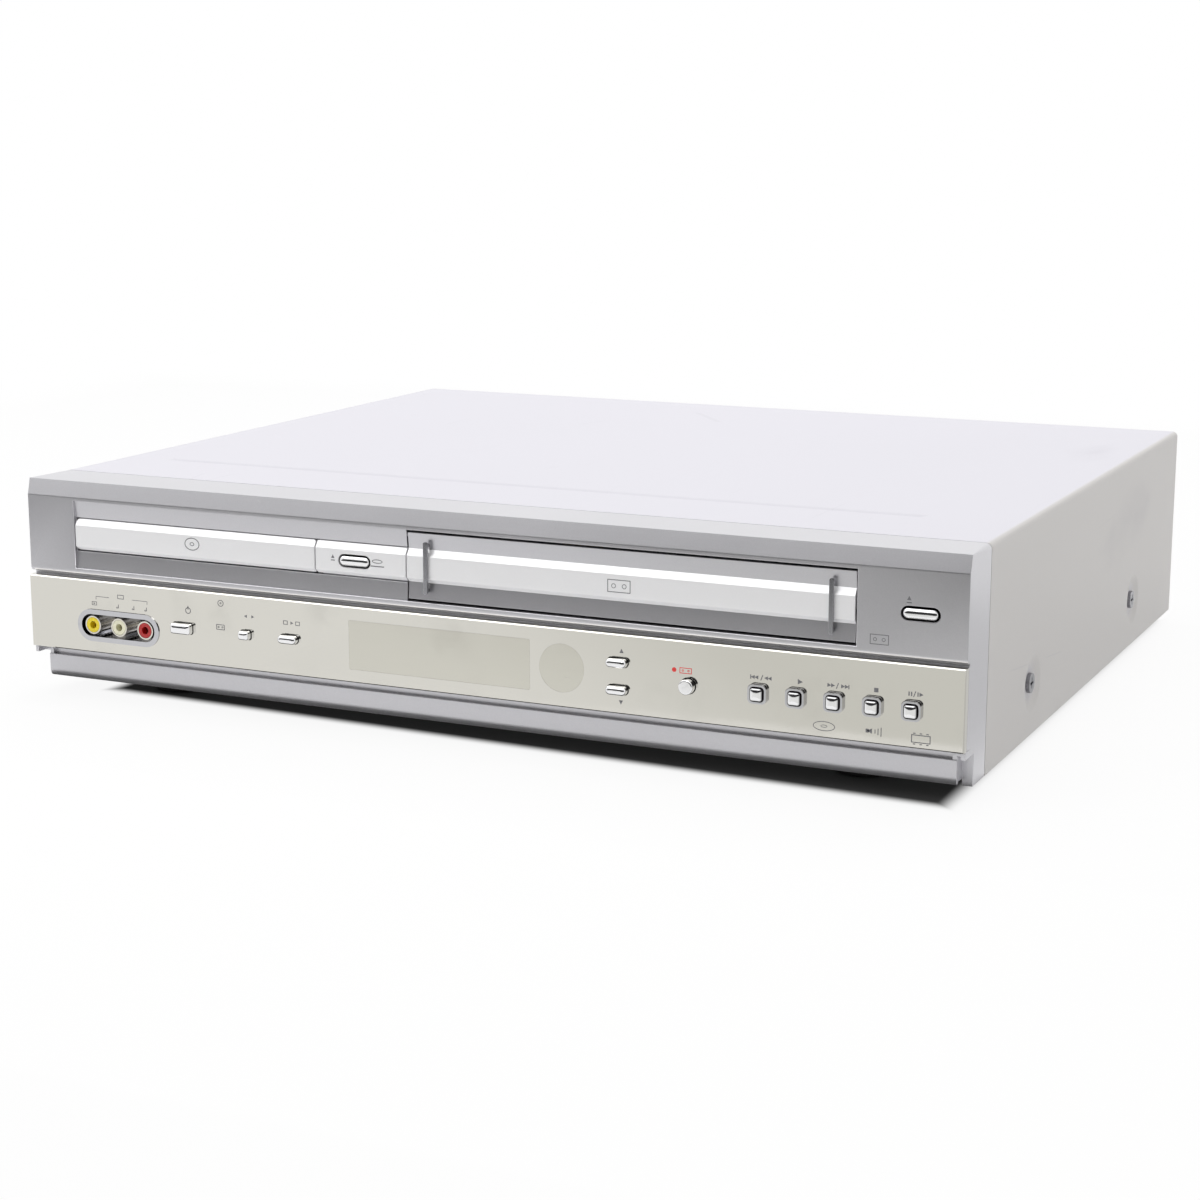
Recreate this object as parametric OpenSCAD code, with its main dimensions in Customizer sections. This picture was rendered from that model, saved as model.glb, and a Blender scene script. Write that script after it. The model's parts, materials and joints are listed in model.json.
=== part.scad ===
// Combination deck: a disc player with a motor tray and a video cassette recorder in one case.
// Millimetres. X runs to the right seen from the front, Y runs back from the front, Z is up.
// The pieces are drawn with Y from the fascia, then moved so that the origin
// lies under the middle of the deck.

/* [Case] */
// Width over the front bezel and the top cover
body_w = 430; // [426:1:440]
// Height from the surface it stands on to the top
body_h = 98; // [97:0.5:102]
// Depth from the fascia to the rear edge of the cover
body_d = 368; // [366:1:390]
// Depth of the moulded front bezel
bezel_d = 28; // [26:0.5:30]
// Wall of the bezel's sides and top
bezel_wall = 2.6; // [2:0.1:3]
// Wall of the bezel behind the fascia
front_wall = 3.8; // [3.6:0.1:4.4]
// Sheet thickness of the top cover
cover_t = 1; // [0.8:0.1:1.2]
// Radius of the cover's long top edges
cover_edge_r = 2.5; // [2:0.1:4]
// Open joint between the bezel and the cover
seam = 0.4; // [0.2:0.1:0.8]
// Sheet thickness of the chassis tray and the rear panel
chassis_t = 1.2; // [1:0.1:1.5]
// Height of the chassis tray's side flanges
flange_h = 30; // [26:1:40]
// From the rear panel's outside to the cover's rear edge
rear_inset = 2; // [1:0.5:4]

/* [Feet and screws] */
// Height of a foot, up to the chassis tray
foot_h = 7.8; // [6:0.1:8.5]
// Radius of a foot
foot_r = 14; // [10:0.5:16]
// Distance of the feet from the case's sides
foot_side = 52; // [40:1:70]
// Distance of the front feet from the fascia
foot_front = 40; // [38:1:60]
// Distance of the rear feet from the cover's rear edge
foot_back = 40; // [30:1:60]
// Radius of the dished seat round a side screw
dish_r = 12.5; // [10:0.5:14]
// Depth of the dished seat
dish_d = 2; // [1.5:0.1:2.4]
// Height of the side screws above the surface
screw_z = 28; // [26:0.5:30]
// Distance of the front side screws from the fascia
screw_front_y = 97; // [85:1:110]
// Distance between the side screws
screw_pitch = 184; // [150:1:200]
// Radius of a screw head
screw_head_r = 4.2; // [3.5:0.1:4.5]
// Height of a screw head
screw_head_h = 1.7; // [1.2:0.1:1.9]
// Radius of a screw shank
screw_r = 1.45; // [1.3:0.05:1.6]
// Length of a screw shank
screw_len = 6; // [5:0.5:8]

/* [Fascia] */
// Height of the sloping band along the top
band_h = 7; // [5:0.5:8]
// How far the band leans back at its top edge
band_lean = 2; // [1:0.1:3]
// Height from the fascia's lower edge to the top of the deck
fascia_h = 41.4; // [41:0.2:43]
// Height of the groove over the control panel
groove_h = 1.5; // [1:0.1:2.5]
// Depth of that groove
groove_d = 3.2; // [2.5:0.1:4]
// From the top of the deck to the trough
trough_drop = 8.6; // [8.2:0.1:9]
// Height of the trough that holds the two doors
trough_h = 29.8; // [29.6:0.1:30.4]
// Depth of the trough at its upper edge
trough_lip = 0.8; // [0.4:0.1:1.2]
// Depth of the trough beside the ridge
trough_d = 1.6; // [1.4:0.1:2.2]
// Depth of the trough at its lower edge
trough_foot = 1; // [0.4:0.1:1.3]
// From the top of the deck to the ridge
ridge_drop = 16.3; // [15.8:0.1:16.6]
// Height of the ridge
ridge_h = 13.9; // [13.4:0.1:14.4]
// Height of the ridge's upper bevel
bevel_top_h = 2.8; // [2:0.1:3.4]
// Height of the ridge's lower bevel
bevel_low_h = 1.8; // [1.2:0.1:2.4]
// Rise of the ridge's face over the fascia
ridge_proud = 0.4; // [0.1:0.1:0.8]
// Gap round each door and between the ridge's pieces
door_gap = 0.6; // [0.4:0.1:0.9]
// Gap above and below the cassette door
door_rim = 1; // [0.8:0.1:1.2]

/* [Disc tray and its front] */
// Fascia left of the tray front
tray_inset = 25.4; // [24:0.2:27]
// Length of the button block beside the tray front
block_len = 43; // [40:0.2:45]
// Fascia right of the cassette door
key_side = 43.8; // [42:0.2:46]
// Width of the tray front
tray_w = 122.3; // [122:0.1:124]
// Corner radius of the tray front
tray_corner_r = 1.2; // [0.6:0.1:2]
// Thickness of the tray front behind the trough's surface
tray_front_t = 2; // [1.6:0.1:3]
// Travel of the tray
tray_travel = 145; // [140:1:148]
// Length of the tray behind its front
tray_len = 196; // [192:1:200]
// Thickness of the tray
tray_t = 6; // [5.5:0.1:6.1]
// Radius of the disc that the tray holds
disc_r = 60; // [59.8:0.1:60]
// Clearance round the disc in its well
disc_clearance = 0.4; // [0.3:0.1:0.6]
// Depth of the well for the disc
well_d = 2.2; // [1.8:0.1:2.6]
// Radius of the inner well for the small disc
small_disc_r = 40.5; // [40.3:0.1:41]
// From the tray's front end to the middle of the disc
disc_y = 74; // [73:0.5:76]
// Module of the tray's rack and gear
gear_module = 1; // [0.95:0.05:1.05]
// Number of teeth on the tray's drive gear
gear_teeth = 20; // [18:1:20]
// Height of the rack under the tray
rack_h = 3; // [2.4:0.1:3.1]
// Radius of the drive gear's post
gear_post_r = 1.5; // [1.2:0.1:2]

/* [Disc drive] */
// Wall of the loader frame
loader_wall = 2; // [1.8:0.1:2.4]
// Side clearance between the tray and the loader frame
tray_side_gap = 0.5; // [0.4:0.1:0.7]
// Drop of the traverse while the tray can move, in degrees
traverse_tilt = 4.2; // [4:0.1:4.4]
// From the disc's middle back to the traverse hinge
traverse_arm = 116; // [114:1:120]
// Radius of the traverse's hinge pins
traverse_pin_r = 2; // [1.6:0.1:2.4]
// Radius of the disc turntable
turntable_r = 14; // [12:0.5:15]
// Radius of the spindle
spindle_r = 1; // [0.8:0.05:1.2]
// Travel of the laser sled
sled_travel = 34; // [30:1:36]
// Radius of the sled's guide rods
sled_rod_r = 1.5; // [1.2:0.1:1.8]
// Radius of the clamp puck
clamp_r = 15; // [14:0.5:16]

/* [Cassette door] */
// Width of the cassette door
door_w = 193.7; // [192.5:0.1:194.2]
// Thickness of the cassette door
door_t = 2; // [1.8:0.1:2.2]
// Radius of the door's hinge pins
door_pin_r = 1; // [0.9:0.05:1.1]
// Length of a door hinge pin
door_pin_len = 3; // [2.5:0.1:3.5]
// Depth of the door's hinge axis behind the fascia
door_axis_y = 2.6; // [2.6:0.05:2.7]
// Height of the hinge axis below the upper edge of the door's opening
door_axis_drop = 2.2; // [2.1:0.05:2.5]
// Width of a chrome bar on the door
bar_w = 1.9; // [1.6:0.1:2.6]
// How far a bar stands in front of the ridge
bar_t = 1.2; // [0.8:0.1:1.6]
// Distance of a bar's middle from the door's end
bar_inset = 9.2; // [7:0.1:12]
// Length of a bar
bar_len = 22; // [20:0.5:24]

/* [Control panel] */
// Height of the mirror finished control panel
panel_h = 32.5; // [32:0.1:33]
// Thickness of the control panel
panel_t = 3.5; // [3:0.1:4]
// Rise of the control panel over the fascia
panel_proud = 1.5; // [1:0.1:2]
// Chamfer along the control panel's edges
panel_chamfer = 0.5; // [0.3:0.1:0.8]
// Setback of the plinth under the panel
plinth_set = 4.7; // [4:0.1:6]
// Inset of the plinth at its ends
plinth_inset = 4.3; // [3.5:0.1:5]
// Depth of the groove over the plinth
ledge_d = 2.5; // [1.5:0.1:3]
// Height of the groove over the plinth
ledge_h = 4.4; // [3.6:0.1:4.8]
// Width of the display window
window_w = 84.5; // [80:0.5:86]
// Height of the display window
window_h = 21; // [19:0.5:22]
// Left side to the window's middle
window_x = 206.5; // [205:0.5:208]
// Radius of the remote control window
remote_r = 10; // [9:0.5:11]
// Left side to the remote window's middle
remote_x = 263; // [262:0.5:265]
// Thickness of the window films
window_t = 0.4; // [0.3:0.1:0.5]

/* [Buttons] */
// Travel of every button
button_travel = 0.8; // [0.5:0.1:0.8]
// Clearance round a button
button_gap = 0.3; // [0.25:0.05:0.35]
// Rise of the panel's buttons over the panel
button_proud = 3.3; // [2.4:0.1:3.6]
// Rise of the long buttons over their face
key_proud = 1; // [0.6:0.1:1.4]
// Clearance round the long buttons in the fascia
key_gap = 0.7; // [0.5:0.1:0.8]
// Length of the long buttons in the fascia
key_w = 14; // [12:0.2:15]
// Height of the long buttons in the fascia
key_h = 4.2; // [3.6:0.1:4.6]
// From the block's left end to the open and close button's middle
key_inset = 18.7; // [17:0.1:22]
// Right side to the eject button's middle
eject_x = 18.7; // [18:0.1:21]
// Width of the power button
power_w = 10; // [8:0.5:11]
// Height of the power button
power_h = 4.6; // [4:0.1:5]
// Width of the source button
source_w = 5; // [4:0.1:6]
// Height of the source button
source_h = 3.8; // [3.4:0.1:4.4]
// Width of the pill shaped buttons
pill_w = 9; // [8.6:0.2:11]
// Height of the pill shaped buttons
pill_h = 3.7; // [3.4:0.1:4]
// Radius of the record button
record_r = 3.1; // [2.8:0.1:3.4]
// Side of a square transport button
play_w = 5.2; // [4.6:0.1:5.4]
// Outer side of the ring round a transport button
ring_w = 7.8; // [7.6:0.1:8.6]
// Height of a transport ring in front of the panel
ring_t = 1.9; // [1.4:0.1:2.2]
// Distance between the transport buttons
play_pitch = 15.5; // [15:0.1:16]
// Right side to the last transport button
play_x = 20.5; // [19.5:0.1:21.5]

/* [Sockets] */
// Outer radius of a coaxial socket's sleeve
sleeve_r = 4.15; // [4.1:0.05:4.2]
// Wall of the sleeve
sleeve_wall = 0.75; // [0.6:0.05:0.8]
// Radius of the socket's centre hole
socket_r = 1.65; // [1.6:0.05:1.7]
// Distance between the front sockets
jack_pitch = 13.8; // [13.4:0.1:14.2]
// Left side to the middle front socket
jack_x = 47.2; // [46:0.2:49]
// Length of the recess round the front sockets
recess_w = 43; // [42:0.5:46]
// Height of the recess round the front sockets
recess_h = 14.4; // [14:0.1:15]
// Wall of the recess cup
recess_wall = 1.2; // [1:0.1:1.4]
// Depth of the recess behind the panel's face
recess_d = 9.5; // [9:0.1:11]
// Distance between the rear sockets
rear_jack_pitch = 14; // [13.5:0.1:15]
// Rise of the rear sockets over the rear panel
rear_jack_len = 8; // [7.5:0.1:9]
// Radius of an aerial terminal
aerial_r = 4.76; // [4.7:0.02:4.8]
// Distance between the aerial terminals
aerial_pitch = 28; // [24:1:30]
// Radius of the mains cord's hole in its gland
gland_bore_r = 3.2; // [3:0.1:3.6]

/* [Tape deck] */
// Width of the cassette bay
bay_w = 189; // [188.5:0.1:189.5]
// Length of the cassette carriage
bay_d = 106; // [105:0.5:108]
// Clear height in the carriage
bay_h = 26; // [25.8:0.1:26.4]
// How far the carriage comes down
carriage_travel = 22; // [20:0.5:22]
// Sheet thickness of the carriage and its guides
carriage_t = 1; // [0.8:0.1:1.2]
// Radius of the carriage's guide pins
guide_pin_r = 1.5; // [1.2:0.1:1.8]
// Height of the deck plate above the chassis tray
deck_rise = 21; // [20:0.5:21.5]
// Sheet thickness of the deck plate
deck_t = 1.5; // [1.2:0.1:1.8]
// Distance between the reels
reel_pitch = 92; // [91:0.5:93]
// Radius of a reel's flange
reel_flange_r = 17; // [15:0.5:18]
// Radius of a reel's hub
reel_hub_r = 11; // [10:0.5:12]
// Radius of the posts that the reels turn on
reel_post_r = 1.5; // [1.2:0.1:2]
// Radius of the head drum
drum_r = 31; // [30:0.5:31.5]
// Lean of the head drum in degrees
drum_lean = 5; // [4:0.5:6]
// Radius of the capstan
capstan_r = 1.6; // [1.4:0.1:1.8]
// Radius of the capstan's flywheel
flywheel_r = 27; // [24:0.5:29]
// Radius of the pinch roller
pinch_r = 7; // [6:0.25:8]
// Length of the pinch roller's arm
pinch_arm_len = 24; // [22:0.5:25]
// Swing of the pinch roller's arm in degrees
pinch_swing = 25; // [20:1:28]
// Radius of the cam gear
cam_r = 21; // [18:0.5:22]

/* [Hidden] */
$fn = 48;

// Clearances that several pieces share
run_gap = 0.05;
free_gap = 0.3;
cut = 1;

// Overall places
left_x = -body_w / 2;
right_x = body_w / 2;
rear_y = body_d - rear_inset;
front_end = -panel_proud - button_proud;
rear_end = rear_y + rear_jack_len;
case_shift = -(front_end + rear_end) / 2;

// Levels on the front, from the top down
band_z = body_h - band_h;
fascia_z = body_h - fascia_h;
panel_top_z = fascia_z - groove_h;
panel_low_z = panel_top_z - panel_h;
panel_z = (panel_top_z + panel_low_z) / 2;
floor_z = foot_h + chassis_t;
cover_low_z = foot_h - 1.4;
bezel_low_z = panel_low_z - 3.2;
plinth_top_z = panel_low_z - ledge_h;
trough_top_z = body_h - trough_drop;
trough_low_z = trough_top_z - trough_h;
ridge_top_z = body_h - ridge_drop;
ridge_low_z = ridge_top_z - ridge_h;
ridge_z = (ridge_top_z - bevel_top_h + ridge_low_z + bevel_low_h) / 2;

// The row of pieces in the trough, from left to right
// The tray and the door keep their widths, and the lengths between share the rest
row_spare = body_w - tray_w - door_w - 3 * door_gap;
row_share = row_spare / (tray_inset + block_len + key_side);
tray_x0 = left_x + tray_inset * row_share;
tray_x1 = tray_x0 + tray_w;
tray_x = (tray_x0 + tray_x1) / 2;
block_x0 = tray_x1 + door_gap;
block_x1 = block_x0 + block_len * row_share;
key_x = block_x0 + key_inset * row_share;
eject_key_x = right_x - eject_x * row_share;
door_x0 = block_x1 + door_gap;
door_x1 = door_x0 + door_w;
door_x = (door_x0 + door_x1) / 2;
slot_x0 = tray_x0 - door_gap;
slot_x1 = door_x1 + door_gap;
door_axis_z = trough_top_z - door_axis_drop;
fascia_inner_y = front_wall;
panel_wall = 2.6;
panel_back_y = panel_t - panel_proud;
panel_inner_y = panel_back_y + panel_wall;

// Sheet metal sides
cover_in_x = right_x - cover_t;
flange_x = right_x - dish_d - cover_t;
tongue_gap = 0.1;
tongue_len = 5;

// Buttons: a flange behind the wall, a stem, then the switch on its board
flange_t = 1.2;
stem_r = 1.5;
stem_end_y = 10.3;
switch_h = 3.5;
switch_tip_r = 1.75;
board_y = stem_end_y + button_travel + free_gap + 4.6;
board_t = 1.6;
// Places along the panel are for the standard width, and spread with the case
standard_w = 430;
spread = body_w / standard_w;
function across(x) = left_x + x * spread;
panel_keys = [
    [across(81.2), panel_low_z + 15.5],
    [across(113.4), panel_low_z + 15.6],
    [across(135), panel_low_z + 15.8],
    [across(287.8), panel_low_z + 21.1],
    [across(287.8), panel_low_z + 9.9],
    [across(318.1), panel_low_z + 14.6]
];
play_z = panel_low_z + 14.7;
function play_place(i) = [right_x - (play_x + (4 - i) * play_pitch) * spread, play_z];
window_mid_x = across(window_x);
window_wide = window_w * spread;
remote_mid_x = across(remote_x);

// Front sockets
jack_z = panel_low_z + 12.4;
jack_mid_x = across(jack_x);
cup_y0 = -panel_proud - 0.5;
cup_floor_y = recess_d - panel_proud;
jack_face_y = -panel_proud + 0.3;
jack_tail = 4;
insert_r = sleeve_r - sleeve_wall - run_gap;

// Rear sockets, aerial terminals and cord gland
rear_jack_x = across(259);
rear_jack_z = [28, 44];
rear_jack_tail = 6;
tuner_x = right_x - 63;
aerial_z = 34;
gland_x = left_x + 45;
gland_z = 30;
gland_neck_r = 6;

// Disc tray and loader
tray_y0 = trough_d + tray_front_t;
tray_top_z = ridge_top_z - 4.7;
tray_low_z = tray_top_z - tray_t;
tray_body_w = tray_w - 0.8;
disc_mid_y = tray_y0 + disc_y;
well_r = disc_r + disc_clearance;
slot_w = 44;
rail_h = 2.4;
loader_x = tray_body_w / 2 + tray_side_gap;
loader_y0 = 34;
loader_y1 = loader_y0 + 188;
loader_plate_z = tray_low_z - 15;
bridge_z = tray_top_z + 7.5;
loader_top_z = bridge_z + 0.5;
bridge_t = 2;
gear_r = gear_module * gear_teeth / 2;
rack_x = tray_x + tray_body_w / 2 - 9;
gear_x = rack_x - gear_r;
gear_y = loader_y0 + 12;
gear_z0 = tray_low_z - rack_h - 0.2;
gear_backlash = 0.35;
hinge_y = disc_mid_y + traverse_arm;
hinge_z = tray_low_z - 10;
traverse_w = 62;
traverse_t = 2.4;

// Cassette bay
bay_y0 = 36;
bay_floor_z = trough_low_z + 0.2;
bay_out_w = bay_w + 2 * carriage_t;
guide_gap = 0.5;
guide_x = bay_out_w / 2 + guide_gap;
pin_ys = [bay_y0 + 18, bay_y0 + bay_d - 18];
pin_z = bay_floor_z + 13;
deck_z = floor_z + deck_rise;
deck_top_z = deck_z + deck_t;
deck_y0 = bay_y0 + 4;
deck_y1 = bay_y0 + 218;
deck_half_w = bay_out_w / 2 + 7;
reel_y = bay_y0 + 50;
drum_x = door_x - 14;
drum_y = bay_y0 + 156;
drum_z = deck_top_z + 3;
capstan_x = door_x + 44;
capstan_y = bay_y0 + 132;
pinch_x = capstan_x + 22;
pinch_y = capstan_y + 14;
cam_x = door_x + 72;
cam_y = bay_y0 + 184;

// The pinch roller's closed place comes from the triangle of pivot, roller and capstan
pinch_reach = norm([pinch_x - capstan_x, pinch_y - capstan_y]);
pinch_near = pinch_r + capstan_r + free_gap + 0.05;
pinch_corner = acos((pow(pinch_reach, 2) + pow(pinch_arm_len, 2) - pow(pinch_near, 2))
    / (2 * pinch_reach * pinch_arm_len));
pinch_line = atan2(capstan_y - pinch_y, capstan_x - pinch_x);
pinch_rest = pinch_line + pinch_corner + pinch_swing;
roller_x = pinch_x + pinch_arm_len * cos(pinch_rest);
roller_y = pinch_y + pinch_arm_len * sin(pinch_rest);

// shapes that repeat ---

module placed() {
    translate([0, case_shift, 0]) children();
}

module both_sides() {
    for (s = [-1, 1]) scale([s, 1, 1]) children();
}

// Outline of a rectangle w by h with round corners, centred
function round_rect(w, h, r, n = 6) = [
    for (c = [[1, 1, 0], [-1, 1, 90], [-1, -1, 180], [1, -1, 270]])
        for (i = [0:n])
            let (a = c[2] + 90 * i / n)
                [c[0] * (w / 2 - r) + r * cos(a), c[1] * (h / 2 - r) + r * sin(a)]
];

// A slab with an outline in X and Z, from y0 back to y1
module slab(points, x, z, y0, y1) {
    translate([x, y1, z]) rotate([90, 0, 0]) linear_extrude(y1 - y0) polygon(points);
}

// A bar with a profile in Y and Z, from x0 to x1
module bar_x(points, x0, x1) {
    translate([x0, 0, 0]) rotate([90, 0, 90]) linear_extrude(x1 - x0) polygon(points);
}

module block(x0, x1, y0, y1, z0, z1) {
    translate([x0, y0, z0]) cube([x1 - x0, y1 - y0, z1 - z0]);
}

module rod_x(y, z, r, x0, x1) {
    translate([x0, y, z]) rotate([0, 90, 0]) cylinder(h = x1 - x0, r = r);
}

module rod_y(x, z, r, y0, y1) {
    translate([x, y1, z]) rotate([90, 0, 0]) cylinder(h = y1 - y0, r = r);
}

module rod_z(x, y, r, z0, z1) {
    translate([x, y, z0]) cylinder(h = z1 - z0, r = r);
}

module tube_y(x, z, r_out, r_in, y0, y1) {
    difference() {
        rod_y(x, z, r_out, y0, y1);
        rod_y(x, z, r_in, y0 - cut, y1 + cut);
    }
}

// Outline of one involute gear, a tooth on the X axis
function involute(base_r, t) = base_r * [cos(t) + t * PI / 180 * sin(t), sin(t) - t * PI / 180 * cos(t)];
function turned(p, a) = [p[0] * cos(a) - p[1] * sin(a), p[0] * sin(a) + p[1] * cos(a)];
function flank_end(base_r, r) = sqrt(pow(r / base_r, 2) - 1) * 180 / PI;

module gear_outline(teeth, mod, backlash) {
    pitch_r = teeth * mod / 2;
    base_r = pitch_r * cos(20);
    tip_r = pitch_r + 0.9 * mod;
    root_r = pitch_r - 1.25 * mod;
    t_pitch = flank_end(base_r, pitch_r);
    t_tip = flank_end(base_r, tip_r);
    flank = [for (i = [0:4]) involute(base_r, t_tip * i / 4)];
    at_pitch = involute(base_r, t_pitch);
    half = 90 / teeth - backlash / 2 / pitch_r * 180 / PI;
    lean = atan2(at_pitch[1], at_pitch[0]) + half;
    low = [for (p = flank) turned(p, -lean)];
    high = [for (i = [4:-1:0]) [low[i][0], -low[i][1]]];
    root_a = atan2(low[0][1], low[0][0]);
    tooth = concat([root_r * [cos(root_a), sin(root_a)]], low, high,
        [root_r * [cos(root_a), -sin(root_a)]]);
    polygon([for (k = [0:teeth - 1]) for (p = tooth) turned(p, k * 360 / teeth)]);
}

// Front surface of the trough and the ridge, as points in Y and Z from the top down
function ridge_front() = [
    [trough_d, ridge_top_z],
    [-ridge_proud, ridge_top_z - bevel_top_h],
    [-ridge_proud, ridge_low_z + bevel_low_h],
    [trough_d, ridge_low_z]
];

// case ---

module bezel_outer() {
    // The full front section, from the top of the band to the foot of the plinth
    bar_x([
        [bezel_d, body_h],
        [band_lean, body_h],
        [0, band_z],
        [0, fascia_z + 1.4],
        [0.5, fascia_z + 0.5],
        [1.5, fascia_z],
        [groove_d, fascia_z],
        [groove_d, panel_top_z],
        [panel_back_y, panel_top_z],
        [panel_back_y, panel_low_z],
        [plinth_set + ledge_d, panel_low_z],
        [plinth_set + ledge_d, plinth_top_z],
        [plinth_set, plinth_top_z],
        [plinth_set, floor_z - 1],
        [plinth_set + bezel_wall, floor_z - 1],
        [plinth_set + bezel_wall, floor_z],
        [bezel_d, floor_z]
    ], left_x, right_x);
}

module bezel_inner() {
    bar_x([
        [bezel_d + cut, body_h - bezel_wall],
        [band_lean + bezel_wall, body_h - bezel_wall],
        [fascia_inner_y, band_z - 1],
        [fascia_inner_y, fascia_z + 3.4],
        [groove_d + panel_wall, fascia_z + 2.6],
        [groove_d + panel_wall, panel_top_z - 1.4],
        [panel_inner_y, panel_top_z - 1.4],
        [panel_inner_y, panel_low_z + 2.6],
        [plinth_set + ledge_d + 2, panel_low_z + 1.8],
        [plinth_set + ledge_d + 2, plinth_top_z - 2],
        [plinth_set + bezel_wall, plinth_top_z - 2],
        [plinth_set + bezel_wall, floor_z + 2],
        [bezel_d + cut, floor_z + 2]
    ], left_x + bezel_wall, right_x - bezel_wall);
}

// The corner edge grows from sharp at the front to the cover's radius at the seam
module edge_envelope() {
    hull() {
        block(left_x, right_x, -cut, 0, 0, body_h);
        translate([0, bezel_d, 0]) rotate([90, 0, 0]) linear_extrude(0.01)
            polygon(cover_section(0));
    }
}

// Cross section of the cover, inset by t, open at the bottom
function cover_section(t) = concat(
    [[left_x + t, 0]],
    [for (a = [180:-15:90]) [left_x + cover_edge_r + (cover_edge_r - t) * cos(a),
        body_h - cover_edge_r + (cover_edge_r - t) * sin(a)]],
    [for (a = [90:-15:0]) [right_x - cover_edge_r + (cover_edge_r - t) * cos(a),
        body_h - cover_edge_r + (cover_edge_r - t) * sin(a)]],
    [[right_x - t, 0]]
);

module bezel_tongue() {
    // A lip that runs under the cover's front edge
    lip = cover_t + tongue_gap;
    difference() {
        translate([0, bezel_d + tongue_len, 0]) rotate([90, 0, 0]) linear_extrude(tongue_len + cut)
            polygon(cover_section(lip));
        block(left_x + lip + 1.6, right_x - lip - 1.6, bezel_d - 2 * cut, bezel_d + tongue_len + cut,
            -cut, body_h - lip - 1.6);
        block(left_x, right_x, bezel_d - 2 * cut, bezel_d + tongue_len + cut, -cut, bezel_low_z);
    }
}

module panel_hole(x, z, w, h, r, gap) {
    slab(round_rect(w + 2 * gap, h + 2 * gap, r + gap), x, z, -10, 10);
}

module panel_button_holes(gap) {
    panel_hole(panel_keys[0][0], panel_keys[0][1], power_w, power_h, 1, gap);
    panel_hole(panel_keys[1][0], panel_keys[1][1], source_w, source_h, 0.8, gap);
    for (i = [2:4])
        panel_hole(panel_keys[i][0], panel_keys[i][1], pill_w, pill_h, pill_h / 2 - 0.01, gap);
    rod_y(panel_keys[5][0], panel_keys[5][1], record_r + gap, -10, 10);
    for (i = [0:4])
        panel_hole(play_place(i)[0], play_place(i)[1], play_w, play_w, 1.2, gap);
}

module trough_cut() {
    bar_x([
        [-cut, trough_top_z],
        [trough_lip, trough_top_z],
        [trough_d, ridge_top_z],
        [trough_d, ridge_low_z],
        [trough_foot, trough_low_z],
        [-cut, trough_low_z]
    ], slot_x0 - 0.3, slot_x1);
}

module door_lug(x0, x1) {
    block(x0, x1, fascia_inner_y - 0.5, door_axis_y + door_pin_r + 1.8,
        door_axis_z - door_pin_r - 1.8, trough_top_z + 1);
}

module front_bezel() {
    color("silver") placed() difference() {
        union() {
            intersection() {
                difference() {
                    bezel_outer();
                    bezel_inner();
                }
                edge_envelope();
            }
            bezel_tongue();
            both_sides() {
                // The plinth's closed end, the corner behind it and the lug under the panel's end
                block(right_x - plinth_inset - 2, right_x - 1, plinth_set + 0.5, 14, floor_z,
                    bezel_low_z + 1.6);
                block(right_x - plinth_inset, right_x, 12, bezel_d, cover_low_z, bezel_low_z + 1.6);
                block(right_x - 1.8, right_x, 0.5, plinth_set + 4, bezel_low_z, panel_low_z - 0.1);
            }
            door_lug(door_x0 - door_gap - door_pin_len - 1.6, door_x0 - door_gap);
            door_lug(slot_x1, slot_x1 + door_pin_len + 1.6);
            // Posts that carry the front board
            for (x = [across(18), across(96), across(154), across(332), across(416)])
                rod_y(x, panel_top_z - 4, 2.5, panel_inner_y - 0.5, board_y);
        }
        trough_cut();
        block(slot_x0, block_x1 + 0.1, -cut, 2 * front_wall, ridge_low_z - door_gap,
            ridge_top_z + door_gap / 2);
        block(door_x0 - door_gap, slot_x1, -cut, 2 * front_wall, trough_low_z, trough_top_z);
        rod_x(door_axis_y, door_axis_z, door_pin_r + run_gap,
            door_x0 - door_gap - door_pin_len - 0.6, slot_x1 + door_pin_len + 0.6);
        panel_hole(eject_key_x, ridge_z, key_w, key_h, key_h / 2 - 0.01, key_gap);
        panel_button_holes(button_gap);
        panel_hole(jack_mid_x, jack_z, recess_w - 2, recess_h - 2, recess_h / 2 - 1.01, 0.1);
        block(window_mid_x - window_wide / 2 + 1.5, window_mid_x + window_wide / 2 - 1.5,
            -cut, 10, panel_z - window_h / 2 + 1, panel_z + window_h / 2 - 1);
        rod_y(remote_mid_x, panel_z, remote_r - 1, -cut, 10);
        both_sides()
            block(right_x - plinth_inset, right_x + cut, -cut, 12, 0, bezel_low_z);
    }
}

module control_panel() {
    c = panel_chamfer;
    y0 = -panel_proud;
    color([0.83, 0.82, 0.78]) placed() difference() {
        intersection() {
            bar_x([
                [y0, panel_low_z + c],
                [y0, panel_top_z - c],
                [y0 + c, panel_top_z],
                [panel_back_y, panel_top_z],
                [panel_back_y, panel_low_z],
                [y0 + c, panel_low_z]
            ], left_x, right_x);
            translate([0, 0, panel_low_z - cut]) linear_extrude(panel_h + 2 * cut) polygon([
                [left_x + c, y0],
                [right_x - c, y0],
                [right_x, y0 + c],
                [right_x, panel_back_y],
                [left_x, panel_back_y],
                [left_x, y0 + c]
            ]);
        }
        panel_button_holes(button_gap);
        panel_hole(jack_mid_x, jack_z, recess_w - 2, recess_h - 2, recess_h / 2 - 1.01, 0.1);
        slab(round_rect(window_wide, window_h, 0.6), window_mid_x, panel_z, y0 - cut, y0 + window_t);
        rod_y(remote_mid_x, panel_z, remote_r, y0 - cut, y0 + window_t);
    }
}

module panel_windows() {
    y0 = -panel_proud;
    color([0.75, 0.74, 0.68]) placed() {
        slab(round_rect(window_wide, window_h, 0.6), window_mid_x, panel_z, y0, y0 + window_t);
        rod_y(remote_mid_x, panel_z, remote_r, y0, y0 + window_t);
    }
}

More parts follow.
